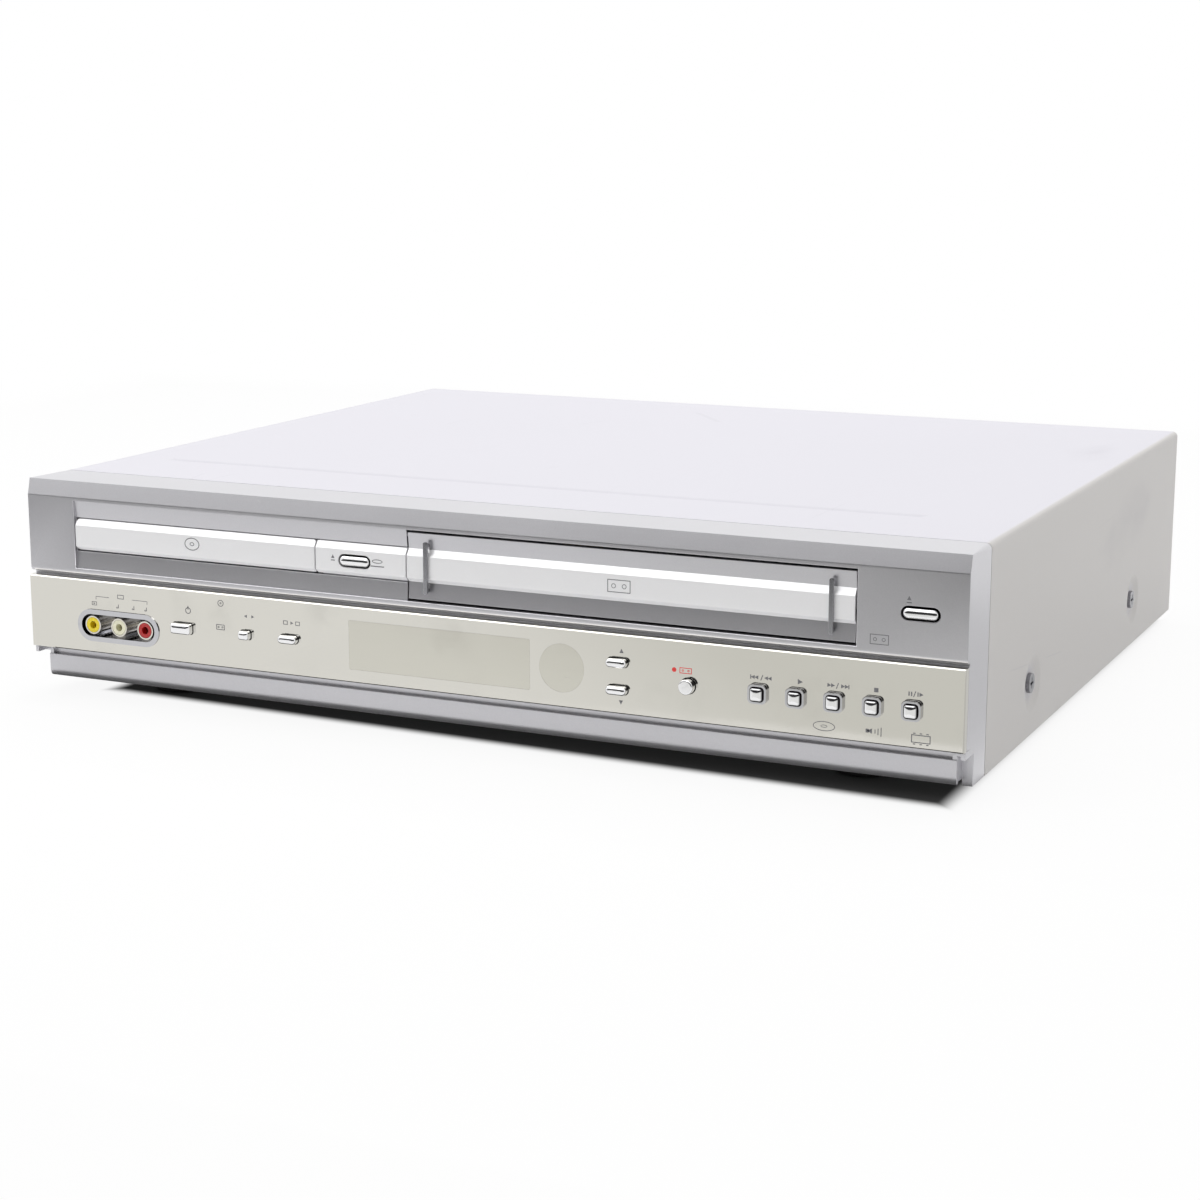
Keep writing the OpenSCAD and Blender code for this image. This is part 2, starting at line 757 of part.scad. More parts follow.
module side_dish_cut(y) {
    translate([right_x + cut, y, screw_z]) rotate([0, -90, 0]) cylinder(h = 3 * cut, r = dish_r);
}

// The pressed bowl round a side screw, as a ring of sheet
module side_dish(y) {
    h = screw_r + 0.4;
    d = dish_d;
    t = cover_t;
    translate([right_x, y, screw_z]) rotate([0, -90, 0]) rotate_extrude() polygon([
        [h, d],
        [0.45 * dish_r, d],
        [0.68 * dish_r, 0.72 * d],
        [0.87 * dish_r, 0.3 * d],
        [dish_r, 0],
        [dish_r + 0.6, 0],
        [dish_r + 0.6, t],
        [dish_r, t],
        [0.87 * dish_r, 0.3 * d + t],
        [0.68 * dish_r, 0.72 * d + t],
        [0.45 * dish_r, d + t],
        [h, d + t]
    ]);
}

bead_y = 74;
bead_w = 5;
bead_d = 0.8;
bead_x0 = left_x + 25;
bead_x1 = right_x - 40;

module cover_bead(drop, grow, over) {
    // A pressed line across the top, with a flat floor and sloping sides
    bar_x([
        [bead_y - bead_w / 2 - grow, body_h - drop + over],
        [bead_y - bead_w / 4 - grow, body_h - drop - bead_d],
        [bead_y + bead_w / 4 + grow, body_h - drop - bead_d],
        [bead_y + bead_w / 2 + grow, body_h - drop + over]
    ], bead_x0 - grow, bead_x1 + grow);
}

tab_w = 14;
tab_h = 12;
tab_xs = [-0.28 * body_w, 0, 0.28 * body_w];

module top_cover() {
    color([0.9, 0.89, 0.92]) placed() {
        difference() {
            union() {
                difference() {
                    translate([0, body_d, 0]) rotate([90, 0, 0])
                        linear_extrude(body_d - bezel_d - seam) polygon(cover_section(0));
                    translate([0, body_d + cut, 0]) rotate([90, 0, 0])
                        linear_extrude(body_d + cut) polygon(cover_section(cover_t));
                    block(left_x - cut, right_x + cut, 0, body_d + cut, -cut, cover_low_z);
                    both_sides() for (i = [0, 1])
                        side_dish_cut(screw_front_y + i * screw_pitch);
                }
                both_sides() for (i = [0, 1])
                    side_dish(screw_front_y + i * screw_pitch);
                cover_bead(cover_t, 0.6, 0.3);
                // Tabs behind the rear panel that take its upper screws
                for (x = tab_xs)
                    block(x - tab_w / 2, x + tab_w / 2, rear_y - 2 * chassis_t, rear_y - chassis_t,
                        body_h - cover_t - tab_h, body_h - cover_t / 2);
            }
            cover_bead(0, 0, 0.01);
            for (x = tab_xs)
                rod_y(x, body_h - 8, screw_r + run_gap, rear_y - 4 * chassis_t, rear_y);
        }
    }
}

board_post_h = 8;
board_z = floor_z + board_post_h;
main_x0 = left_x + 155;
main_x1 = right_x - 10;
main_y0 = deck_y1 + 6;
main_y1 = rear_y - 16;
power_x0 = left_x + 10;
power_x1 = main_x0 - 15;
power_y0 = loader_y1 + 12;
power_y1 = rear_y - 14;
post_r = 3;
deck_post_r = 4;

function corners(x0, x1, y0, y1, d) = [[x0 + d, y0 + d], [x1 - d, y0 + d], [x0 + d, y1 - d], [x1 - d, y1 - d]];

rear_flange_h = 10;
low_screw_z = floor_z + 5;

module chassis_base() {
    color([0.6, 0.61, 0.62]) placed() difference() {
        union() {
            block(-flange_x, flange_x, bezel_d + 1, rear_y - chassis_t, foot_h, floor_z);
            block(-flange_x + 14, flange_x - 14, 12, bezel_d + 1.5, foot_h, floor_z);
            both_sides()
                block(flange_x - chassis_t, flange_x, bezel_d + tongue_len + 1, rear_y - chassis_t,
                    foot_h, floor_z + flange_h);
            block(-flange_x, flange_x, rear_y - 2 * chassis_t, rear_y - chassis_t, foot_h,
                floor_z + rear_flange_h);
            for (p = corners(main_x0, main_x1, main_y0, main_y1, 5))
                rod_z(p[0], p[1], post_r, floor_z - 0.5, board_z);
            for (p = corners(power_x0, power_x1, power_y0, power_y1, 5))
                rod_z(p[0], p[1], post_r, floor_z - 0.5, board_z);
            for (p = corners(door_x - deck_half_w, door_x + deck_half_w, deck_y0, deck_y1, 6))
                rod_z(p[0], p[1], deck_post_r, floor_z - 0.5, deck_z);
            for (p = corners(tray_x - loader_x - loader_wall, tray_x + loader_x + loader_wall,
                loader_y0, loader_y1, 5))
                rod_z(p[0], p[1], deck_post_r, floor_z - 0.5, loader_plate_z);
        }
        both_sides() for (i = [0, 1])
            rod_x(screw_front_y + i * screw_pitch, screw_z, screw_r + run_gap, flange_x - 5, flange_x + 5);
        for (s = [-1, 1])
            rod_y(s * (flange_x - 9), low_screw_z, screw_r + run_gap, rear_y - 5, rear_y);
        // Cooling slots under the power board and the tape deck
        for (x = [power_x0 + 30, across(275)]) for (i = [0:7])
            block(x, x + 50, power_y0 + 14 + 9 * i, power_y0 + 18 + 9 * i, 0, floor_z + cut);
    }
}

module rear_panel() {
    edge = cover_t + 0.5;
    color([0.62, 0.63, 0.64]) placed() difference() {
        block(left_x + edge, right_x - edge, rear_y - chassis_t, rear_y, floor_z, body_h - edge);
        both_sides()
            translate([right_x - edge, rear_y - 2 * chassis_t, body_h - edge]) rotate([0, 45, 0])
                cube([3, 4 * chassis_t, 3], center = true);
        for (z = rear_jack_z) for (i = [-1:1])
            rod_y(rear_jack_x + i * rear_jack_pitch, z, sleeve_r + 0.2, rear_y - 5, rear_y + 5);
        for (i = [-1, 1])
            rod_y(tuner_x + i * aerial_pitch / 2, aerial_z, aerial_r + 0.3, rear_y - 5, rear_y + 5);
        rod_y(gland_x, gland_z, gland_neck_r + run_gap, rear_y - 5, rear_y + 5);
        for (x = tab_xs)
            rod_y(x, body_h - 8, screw_r + 0.3, rear_y - 5, rear_y + 5);
        for (x = [-1, 1])
            rod_y(x * (flange_x - 9), low_screw_z, screw_r + 0.3, rear_y - 5, rear_y + 5);
        for (i = [0:9])
            block(power_x0 + 20 + 8 * i, power_x0 + 23 + 8 * i, rear_y - 5, rear_y + 5,
                body_h - 40, body_h - 16);
    }
}

module feet() {
    color([0.2, 0.2, 0.21]) placed()
        for (s = [-1, 1]) for (y = [foot_front, body_d - foot_back]) {
            rod_z(s * (right_x - foot_side), y, foot_r, 1, foot_h);
            rod_z(s * (right_x - foot_side), y, foot_r - 1.5, 0, 1.01);
        }
}

// A pan head screw with its head on the +Z side of z = 0, and a cross recess
module screw() {
    difference() {
        union() {
            cylinder(h = screw_head_h, r = screw_head_r);
            translate([0, 0, -screw_len]) cylinder(h = screw_len + 0.01, r = screw_r);
        }
        for (a = [0, 90]) rotate([0, 0, a])
            translate([-0.5, -screw_head_r * 0.55, screw_head_h - 0.9])
                cube([1, screw_head_r * 1.1, 1]);
    }
}

module cover_screws() {
    color([0.55, 0.55, 0.56]) placed()
        both_sides() for (i = [0, 1])
            translate([right_x - dish_d, screw_front_y + i * screw_pitch, screw_z])
                rotate([0, 90, 0]) screw();
}

module rear_screws() {
    color([0.5, 0.5, 0.52]) placed() {
        for (x = tab_xs)
            translate([x, rear_y, body_h - 8]) rotate([-90, 0, 0]) screw();
        for (x = [-1, 1])
            translate([x * (flange_x - 9), rear_y, low_screw_z]) rotate([-90, 0, 0]) screw();
    }
}

// doors and buttons ---

module ridge_piece(x0, x1, back_y) {
    bar_x(concat(ridge_front(), [[back_y, ridge_low_z], [back_y, ridge_top_z]]), x0, x1);
}

module tray_front() {
    color([0.84, 0.84, 0.86]) placed() intersection() {
        ridge_piece(tray_x0, tray_x1, tray_y0);
        slab(round_rect(tray_w, ridge_h, tray_corner_r), tray_x, ridge_top_z - ridge_h / 2, -10, 10);
    }
}

module button_block() {
    back = front_wall;
    color([0.84, 0.84, 0.86]) placed() difference() {
        union() {
            ridge_piece(block_x0, block_x1, back + 0.4);
            // Flanges behind the bezel's wall, above and below the opening
            block(block_x0 + 1, block_x1 - 1, back, back + 1.6, ridge_low_z - 2.5, ridge_top_z + 2.5);
        }
        panel_hole(key_x, ridge_z, key_w, key_h, key_h / 2 - 0.01, key_gap);
    }
}

// A cap w by h with a soft front edge, a flange, and a stem to its switch
module button(points, flange_points, x, z, face_y, wall_y) {
    edge = 0.4;
    color([0.8, 0.8, 0.81]) placed() {
        slab(points, x, z, face_y + edge, wall_y + free_gap + 0.01);
        hull() {
            slab(points, x, z, face_y + edge, face_y + edge + 0.01);
            translate([x, 0, z]) scale([0.92, 1, 0.86]) translate([-x, 0, -z])
                slab(points, x, z, face_y, face_y + 0.01);
        }
        slab(flange_points, x, z, wall_y + free_gap, wall_y + free_gap + flange_t);
        rod_y(x, z, stem_r, wall_y + free_gap + flange_t - 0.01, stem_end_y);
    }
}

module rect_button(w, h, r, place, face_y, wall_y) {
    button(round_rect(w, h, r), round_rect(w + 2.4, h + 2.4, r), place[0], place[1], face_y, wall_y);
}

module pill_button(w, h, place, face_y, wall_y) {
    rect_button(w, h, h / 2 - 0.01, place, face_y, wall_y);
}

panel_face = -panel_proud - button_proud;

module open_close_button() {
    pill_button(key_w, key_h, [key_x, ridge_z], -ridge_proud - key_proud, front_wall + 1.6);
}

module eject_button() {
    pill_button(key_w, key_h, [eject_key_x, ridge_z], -key_proud, front_wall);
}

module power_button() {
    rect_button(power_w, power_h, 1, panel_keys[0], panel_face, panel_inner_y);
}

module source_button() {
    rect_button(source_w, source_h, 0.8, panel_keys[1], panel_face, panel_inner_y);
}

module copy_button() {
    pill_button(pill_w, pill_h, panel_keys[2], panel_face, panel_inner_y);
}

module channel_up_button() {
    pill_button(pill_w, pill_h, panel_keys[3], panel_face, panel_inner_y);
}

module channel_down_button() {
    pill_button(pill_w, pill_h, panel_keys[4], panel_face, panel_inner_y);
}

module record_button() {
    x = panel_keys[5][0];
    z = panel_keys[5][1];
    color([0.8, 0.8, 0.81]) placed() {
        rod_y(x, z, record_r, panel_face + 0.4, panel_inner_y + free_gap + 0.01);
        rod_y(x, z, record_r - 0.35, panel_face, panel_face + 0.41);
        rod_y(x, z, record_r + 1.2, panel_inner_y + free_gap, panel_inner_y + free_gap + flange_t);
        rod_y(x, z, stem_r, panel_inner_y + free_gap + flange_t - 0.01, stem_end_y);
    }
}

module transport_button(i) {
    rect_button(play_w, play_w, 1.2, play_place(i), panel_face, panel_inner_y);
}

module rewind_button() { transport_button(0); }
module play_button() { transport_button(1); }
module forward_button() { transport_button(2); }
module stop_button() { transport_button(3); }
module pause_button() { transport_button(4); }

module button_rings() {
    color([0.78, 0.78, 0.8]) placed() for (i = [0:4]) difference() {
        slab(round_rect(ring_w, ring_w, 2), play_place(i)[0], play_place(i)[1],
            -panel_proud - ring_t, -panel_proud);
        slab(round_rect(play_w + 2 * button_gap, play_w + 2 * button_gap, 1.2 + button_gap),
            play_place(i)[0], play_place(i)[1], -10, 10);
    }
}

module cassette_door() {
    gap = door_gap;
    zt = trough_top_z - door_rim;
    zl = trough_low_z + door_rim;
    // The back of the upper edge is rounded about the hinge axis
    turn_r = max(zt - door_axis_z, door_pin_r) + 0.2;
    // The door's front follows the trough and the ridge, and its back follows its front
    front = concat(
        [[trough_lip + 0.1, zt]], ridge_front(), [[trough_foot + 0.05, zl]]);
    back = [
        [trough_foot + door_t, zl],
        [trough_d + door_t, ridge_low_z - 0.6],
        [door_t - ridge_proud, ridge_low_z + bevel_low_h - 0.4],
        [door_t - ridge_proud, ridge_top_z - bevel_top_h + 0.4],
        [door_axis_y + turn_r, door_axis_z - turn_r - 1],
        [door_axis_y + turn_r, door_axis_z],
        [door_axis_y + turn_r * cos(30), door_axis_z + turn_r * sin(30)],
        [door_axis_y + turn_r * cos(55), min(door_axis_z + turn_r * sin(55), zt - 0.01)],
        [door_axis_y, zt]
    ];
    color([0.8, 0.8, 0.82]) placed() {
        bar_x(concat(front, back), door_x0, door_x1);
        rod_x(door_axis_y, door_axis_z, door_pin_r, door_x0 - gap - door_pin_len, door_x0 + 2);
        rod_x(door_axis_y, door_axis_z, door_pin_r, door_x1 - 2, slot_x1 + door_pin_len);
    }
}

module door_bars() {
    y0 = -ridge_proud - bar_t;
    z1 = ridge_z + bar_len / 2;
    z0 = ridge_z - bar_len / 2;
    color([0.7, 0.7, 0.72]) placed() for (x = [door_x0 + bar_inset, door_x1 - bar_inset]) {
        slab(round_rect(bar_w, bar_len, bar_w / 2 - 0.01), x, ridge_z, y0, -ridge_proud);
        // A foot at each end reaches back to the door
        block(x - bar_w / 2 + 0.2, x + bar_w / 2 - 0.2, -ridge_proud - 0.5, trough_lip + 0.35,
            z1 - 2.4, z1 - 0.9);
        block(x - bar_w / 2 + 0.2, x + bar_w / 2 - 0.2, -ridge_proud - 0.5, trough_foot + 0.1,
            z0 + 0.9, z0 + 2.4);
    }
}

// sockets ---

function front_jack_x(i) = jack_mid_x + (i - 1) * jack_pitch;
function rear_jack_at(i) = rear_jack_x + (1 - i) * rear_jack_pitch;

module jack_recess() {
    r = recess_h / 2;
    w = recess_wall;
    color([0.72, 0.72, 0.73]) placed() difference() {
        union() {
            slab(round_rect(recess_w, recess_h, r - 0.01), jack_mid_x, jack_z, cup_y0, -panel_proud);
            slab(round_rect(recess_w - 2, recess_h - 2, r - 1.01), jack_mid_x, jack_z,
                -panel_proud - 0.01, cup_floor_y + w);
        }
        slab(round_rect(recess_w - 2 - 2 * w, recess_h - 2 - 2 * w, r - 1.01 - w), jack_mid_x, jack_z,
            cup_y0 - cut, cup_floor_y);
        for (i = [0:2])
            rod_y(front_jack_x(i), jack_z, sleeve_r + run_gap, 0, cup_floor_y + 3 * w);
    }
}

module jack_sleeves() {
    color([0.75, 0.74, 0.7]) placed() {
        for (i = [0:2])
            tube_y(front_jack_x(i), jack_z, sleeve_r, sleeve_r - sleeve_wall, jack_face_y,
                cup_floor_y + jack_tail);
        for (z = rear_jack_z) for (i = [0:2])
            tube_y(rear_jack_at(i), z, sleeve_r, sleeve_r - sleeve_wall, rear_y - rear_jack_tail, rear_end);
    }
}

// The plastic core of a coaxial socket: a tube in its sleeve, with a wider tail
module front_insert(i) {
    x = front_jack_x(i);
    y1 = cup_floor_y + jack_tail;
    difference() {
        union() {
            rod_y(x, jack_z, insert_r, jack_face_y, y1 + 0.4);
            rod_y(x, jack_z, sleeve_r, y1, board_y);
        }
        rod_y(x, jack_z, socket_r, jack_face_y - cut, y1);
    }
}

module rear_insert(i, z) {
    x = rear_jack_at(i);
    y0 = rear_y - rear_jack_tail;
    difference() {
        union() {
            rod_y(x, z, insert_r, y0 - 0.5, rear_end);
            rod_y(x, z, sleeve_r, y0 - 1.5, y0);
        }
        rod_y(x, z, socket_r, y0, rear_end + cut);
    }
}

module jack_inserts(i) {
    front_insert(i);
    for (z = rear_jack_z) rear_insert(i, z);
}

module yellow_jack_inserts() { color([0.95, 0.8, 0.05]) placed() jack_inserts(0); }
module white_jack_inserts() { color([0.93, 0.93, 0.88]) placed() jack_inserts(1); }
module red_jack_inserts() { color([0.7, 0.05, 0.05]) placed() jack_inserts(2); }

module tuner_unit() {
    can_h = 30;
    can_z = board_z + board_t;
    color([0.72, 0.73, 0.74]) placed() difference() {
        union() {
        block(tuner_x - 33, tuner_x + 33, main_y1 - 40, rear_y - 2 * chassis_t, can_z, can_z + can_h);
        for (i = [-1, 1]) {
            rod_y(tuner_x + i * aerial_pitch / 2, aerial_z, aerial_r, rear_y - 3 * chassis_t, rear_end);
            translate([tuner_x + i * aerial_pitch / 2, rear_y + 1.4, aerial_z]) rotate([90, 0, 0])
                cylinder(h = 1.4, r = 6.6, $fn = 6);
            }
        }
        for (i = [-1, 1])
            rod_y(tuner_x + i * aerial_pitch / 2, aerial_z, 1.2, rear_y, rear_end + cut);
    }
}

module cord_gland() {
    color([0.1, 0.1, 0.1]) placed() translate([gland_x, rear_y, gland_z]) rotate([-90, 0, 0])
        rotate_extrude() polygon([
            [gland_bore_r, -9],
            [gland_neck_r + 2.4, -9],
            [gland_neck_r + 2.4, -chassis_t - 0.05],
            [gland_neck_r, -chassis_t - 0.05],
            [gland_neck_r, 0],
            [gland_neck_r + 2.4, 0],
            [gland_neck_r + 2.4, 2.4],
            [gland_neck_r, 2.8],
            [gland_neck_r - 1, rear_jack_len - 1],
            [gland_bore_r, rear_jack_len - 1]
        ]);
}

// boards ---

module front_board() {
    color([0.16, 0.36, 0.2]) placed() {
        block(left_x + 14, right_x - 10, board_y, board_y + board_t, panel_low_z + 1, panel_top_z - 1);
        // Legs behind the two buttons in the fascia
        for (x = [key_x, eject_key_x])
            block(x - 8, x + 8, board_y, board_y + board_t, panel_top_z - 1.01, ridge_z + 5);
    }
}

module tact_switch(x, z) {
    block(x - 3, x + 3, board_y - switch_h, board_y, z - 3, z + 3);
    rod_y(x, z, switch_tip_r, board_y - 4.6, board_y - switch_h + 0.01);
}

module front_board_parts() {
    color([0.15, 0.15, 0.16]) placed() {
        for (p = panel_keys) tact_switch(p[0], p[1]);
        for (i = [0:4]) tact_switch(play_place(i)[0], play_place(i)[1]);
        tact_switch(key_x, ridge_z);
        tact_switch(eject_key_x, ridge_z);
        // Receiver for the remote control
        block(remote_mid_x - 4, remote_mid_x + 4, board_y - 5, board_y, panel_z - 4, panel_z + 4);
        rod_y(remote_mid_x, panel_z, 3, board_y - 7, board_y - 4.9);
    }
}

module display_tube() {
    color([0.12, 0.2, 0.22]) placed() {
        w = window_wide / 2 - 2.5;
        h = window_h / 2 - 2;
        block(window_mid_x - w, window_mid_x + w, board_y - 7, board_y - 1, panel_z - h, panel_z + h);
        block(window_mid_x - w + 3.5, window_mid_x + w - 3.5, board_y - 1.01, board_y, panel_z - 3,
            panel_z + 3);
    }
}

main_area = [main_x0, main_x1, main_y0, main_y1];
power_area = [power_x0, power_x1, power_y0, power_y1];
tall_part_h = 30;
low_part_h = 2.4;
fin_count = 6;
function along(a, u) = a[0] + u * (a[1] - a[0]);
function back_on(a, v) = a[2] + v * (a[3] - a[2]);

module board(a) {
    block(a[0], a[1], a[2], a[3], board_z, board_z + board_t);
}

// A box on a board, h high: its place and its size are shares of the board
module board_box(a, u0, u1, v0, v1, h) {
    block(along(a, u0), along(a, u1), back_on(a, v0), back_on(a, v1), board_z + board_t, board_z + board_t + h);
}

module main_board() {
    color([0.16, 0.36, 0.2]) placed() board(main_area);
}

module power_board() {
    color([0.55, 0.42, 0.2]) placed() board(power_area);
}

module board_parts() {
    z = board_z + board_t;
    color([0.2, 0.2, 0.22]) placed() {
        // Main board: processors, capacitors and the rear sockets' housing
        board_box(main_area, 0.11, 0.22, 0.35, 0.6, low_part_h);
        board_box(main_area, 0.3, 0.41, 0.25, 0.5, low_part_h);
        for (i = [0:3])
            rod_z(along(main_area, 0.056), back_on(main_area, 0.13 + 0.15 * i), 4, z, z + tall_part_h / 3);
        block(rear_jack_x - 23, rear_jack_x + 23, rear_y - rear_jack_tail - 11,
            rear_y - rear_jack_tail - 1.5, z, rear_jack_z[1] + 8);
        // Power board: transformer, reservoir capacitor and a finned heat sink
        board_box(power_area, 0.09, 0.42, 0.06, 0.28, tall_part_h);
        rod_z(along(power_area, 0.57), back_on(power_area, 0.17), 12, z, z + tall_part_h);
        board_box(power_area, 0.7, 0.73, 0.08, 0.42, tall_part_h - low_part_h);
        for (i = [0:fin_count - 1]) {
            v = 0.08 + 0.34 * i / fin_count;
            board_box(power_area, 0.729, 0.8, v, v + 0.012, tall_part_h - low_part_h);
        }
    }
}

// disc drive ---

module loader_frame() {
    w = loader_wall;
    x0 = tray_x - loader_x - w;
    x1 = tray_x + loader_x + w;
    rail_low_z = tray_low_z - free_gap - rail_h;
    color([0.12, 0.12, 0.13]) placed() difference() {
        union() {
            block(x0, x1, loader_y0, loader_y1, loader_plate_z, loader_plate_z + w);
            translate([tray_x, 0, 0]) both_sides() {
                block(loader_x, loader_x + w, loader_y0, loader_y1, loader_plate_z, loader_top_z);
                // Rails under and over the tray's edge
                block(loader_x - 4.5, loader_x + 0.1, loader_y0, loader_y1, rail_low_z,
                    tray_low_z - free_gap);
                block(loader_x - 4.5, loader_x + 0.1, loader_y0, loader_y1, tray_top_z + free_gap,
                    tray_top_z + free_gap + 2);
            }
            block(x0, x1, disc_mid_y - 20, disc_mid_y + 20, bridge_z, bridge_z + bridge_t);
            // Lugs for the traverse's hinge pins
            for (s = [-1, 1])
                block(tray_x + s * (traverse_w / 2 + 4) - 2.5, tray_x + s * (traverse_w / 2 + 4) + 2.5,
                    hinge_y - 5, hinge_y + 5, loader_plate_z, hinge_z + 5);
            rod_z(gear_x, gear_y, gear_post_r, loader_plate_z, gear_z0 + rack_h - 0.3);
            rod_z(gear_x, gear_y, gear_post_r + 2, loader_plate_z, gear_z0 - 7);
        }
        block(tray_x - traverse_w / 2 - 1.2, tray_x + traverse_w / 2 + 1.2, disc_mid_y - 30, hinge_y + 10,
            loader_plate_z - cut, loader_plate_z + w + cut);
        rod_z(tray_x, disc_mid_y, clamp_r - 4.5, bridge_z - cut, bridge_z + bridge_t + cut);
        rod_x(hinge_y, hinge_z, traverse_pin_r + run_gap, tray_x - traverse_w / 2 - 10,
            tray_x + traverse_w / 2 + 10);
    }
}

module disc_tray() {
    w = tray_body_w;
    y1 = tray_y0 + tray_len;
    pitch = PI * gear_module;
    // The rack's phase puts a gap of the rack on the gear's tooth
    half = pitch / 4 - gear_backlash / 2;
    first = ceil((tray_y0 + 8 - gear_y) / pitch) + 0.5;
    count = floor((tray_len - 16) / pitch) - 1;
    color([0.16, 0.16, 0.17]) placed() difference() {
        union() {
            block(tray_x - w / 2, tray_x + w / 2, tray_y0, y1, tray_low_z, tray_top_z);
            // Rack along the right side, below the tray
            block(rack_x + 1.25 * gear_module, rack_x + 4.5, tray_y0 + 4, y1,
                tray_low_z - rack_h, tray_low_z + 0.01);
            for (k = [0:count]) {
                y = gear_y + (first + k) * pitch;
                translate([rack_x, y, tray_low_z - rack_h]) linear_extrude(rack_h + 0.01) polygon([
                    [1.3 * gear_module, -half - 0.47 * gear_module],
                    [-0.9 * gear_module, -half + 0.33 * gear_module],
                    [-0.9 * gear_module, half - 0.33 * gear_module],
                    [1.3 * gear_module, half + 0.47 * gear_module]
                ]);
            }
        }
        rod_z(tray_x, disc_mid_y, well_r, tray_top_z - well_d, tray_top_z + cut);
        rod_z(tray_x, disc_mid_y, small_disc_r, tray_top_z - well_d - 1, tray_top_z);
        // The well breaks out of the tray's sides where its wall would be thinnest
        block(tray_x - w, tray_x + w, disc_mid_y - 9, disc_mid_y + 9, tray_top_z - well_d, tray_top_z + cut);
        // Slot for the turntable and the laser, open to the rear
        rod_z(tray_x, disc_mid_y, slot_w / 2, tray_low_z - cut, tray_top_z + cut);
        block(tray_x - slot_w / 2, tray_x + slot_w / 2, disc_mid_y, y1 + cut, tray_low_z - cut,
            tray_top_z + cut);
    }
}

module slab_z(points, x, y, z0, z1) {
    translate([x, y, z0]) linear_extrude(z1 - z0) polygon(points);
}

module tray_drive_gear() {
    color([0.9, 0.9, 0.86]) placed() translate([gear_x, gear_y, 0]) difference() {
        union() {
            translate([0, 0, gear_z0]) linear_extrude(rack_h - 0.4)
                gear_outline(gear_teeth, gear_module, gear_backlash);
            // Belt pulley under the gear
            translate([0, 0, gear_z0 - 6]) cylinder(h = 6.01, r = 4);
            translate([0, 0, gear_z0 - 5]) rotate_extrude() polygon([
                [3, 0],
                [13, 0],
                [13, 0.8],
                [11.8, 2],
                [13, 3.2],
                [13, 4],
                [3, 4]
            ]);
        }
        translate([0, 0, gear_z0 - 20]) cylinder(h = 40, r = gear_post_r + run_gap);
    }
}

// The traverse is drawn level, then let down about its hinge by its tilt
module on_traverse() {
    translate([0, hinge_y, hinge_z]) rotate([traverse_tilt, 0, 0]) translate([0, -hinge_y, -hinge_z])
        children();
}

rod_x_off = 20;
rod_z_up = hinge_z + 5;
motor_r = 12;
sled_y0 = disc_mid_y + 15.5;
table_z = tray_top_z + 0.5;
rod_ys = [disc_mid_y + 9.5, hinge_y - 14];
plate_top_z = hinge_z + traverse_t / 2;

module traverse_frame() {
    w = traverse_w;
    t = traverse_t;
    y0 = disc_mid_y - 22;
    color([0.5, 0.5, 0.52]) placed() on_traverse() {
        difference() {
            union() {
                block(tray_x - w / 2, tray_x + w / 2, y0, hinge_y, hinge_z - t / 2, hinge_z + t / 2);
                rod_x(hinge_y, hinge_z, traverse_pin_r, tray_x - w / 2 - 5.5, tray_x + w / 2 + 5.5);
                for (s = [-1, 1]) for (y = rod_ys)
                    block(tray_x + s * rod_x_off - 3.5, tray_x + s * rod_x_off + 3.5, y, y + 4,
                        hinge_z, rod_z_up + 2.6);
                for (s = [-1, 1])
                    rod_y(tray_x + s * rod_x_off, rod_z_up, sled_rod_r, rod_ys[0] + 1, rod_ys[1] + 3);
                // Spindle motor
                rod_z(tray_x, disc_mid_y, motor_r, hinge_z - 5, hinge_z + 3);
            }
            slab_z(round_rect(26, traverse_arm - 42, 3), tray_x, disc_mid_y + 14.6 + (traverse_arm - 42) / 2,
                hinge_z - 5, hinge_z + 5);
            rod_z(tray_x, disc_mid_y, spindle_r + run_gap, hinge_z - 3, hinge_z + 5);
        }
    }
}

module disc_turntable() {
    z = hinge_z + 3 + free_gap;
    color([0.2, 0.2, 0.22]) placed() on_traverse() {
        rod_z(tray_x, disc_mid_y, turntable_r, table_z - 2.4, table_z);
        rod_z(tray_x, disc_mid_y, 6, z, table_z - 2.39);
        rod_z(tray_x, disc_mid_y, 7.3, table_z - 0.1, table_z + 1.6);
        rod_z(tray_x, disc_mid_y, spindle_r, hinge_z - 2, z + 0.1);
    }
}

module laser_sled() {
    z0 = rod_z_up - 3.2;
    color([0.24, 0.24, 0.26]) placed() on_traverse() difference() {
        union() {
            block(tray_x - rod_x_off - 4, tray_x + rod_x_off + 4, sled_y0, sled_y0 + 26, z0,
                rod_z_up + 3.2);
            // Turret with the lens, and the drive's lower half below the plate
            block(tray_x - 9, tray_x + 9, sled_y0 + 1, sled_y0 + 15, rod_z_up + 3.1, table_z - 4.5);
            rod_z(tray_x, sled_y0 + 8, 3, table_z - 4.6, table_z - 2.6);
            block(tray_x - 9, tray_x + 9, sled_y0 + 2, sled_y0 + 22, rod_z_up - 9, z0 + 0.01);
        }
        for (s = [-1, 1])
            rod_y(tray_x + s * rod_x_off, rod_z_up, sled_rod_r + run_gap, sled_y0 - cut, sled_y0 + 30);
    }
}

module disc_clamp() {
    gap = 0.4;
    face_z = table_z + 1.7;
    color([0.25, 0.25, 0.27]) placed() {
        difference() {
            rod_z(tray_x, disc_mid_y, clamp_r, face_z, bridge_z - gap);
            rod_z(tray_x, disc_mid_y, 8, face_z - cut, face_z + 0.8);
        }
        rod_z(tray_x, disc_mid_y, clamp_r - 5.3, bridge_z - gap - 0.01, bridge_z + bridge_t + gap + 0.01);
        rod_z(tray_x, disc_mid_y, clamp_r - 2, bridge_z + bridge_t + gap, bridge_z + bridge_t + gap + 1.4);
    }
}

// tape deck ---

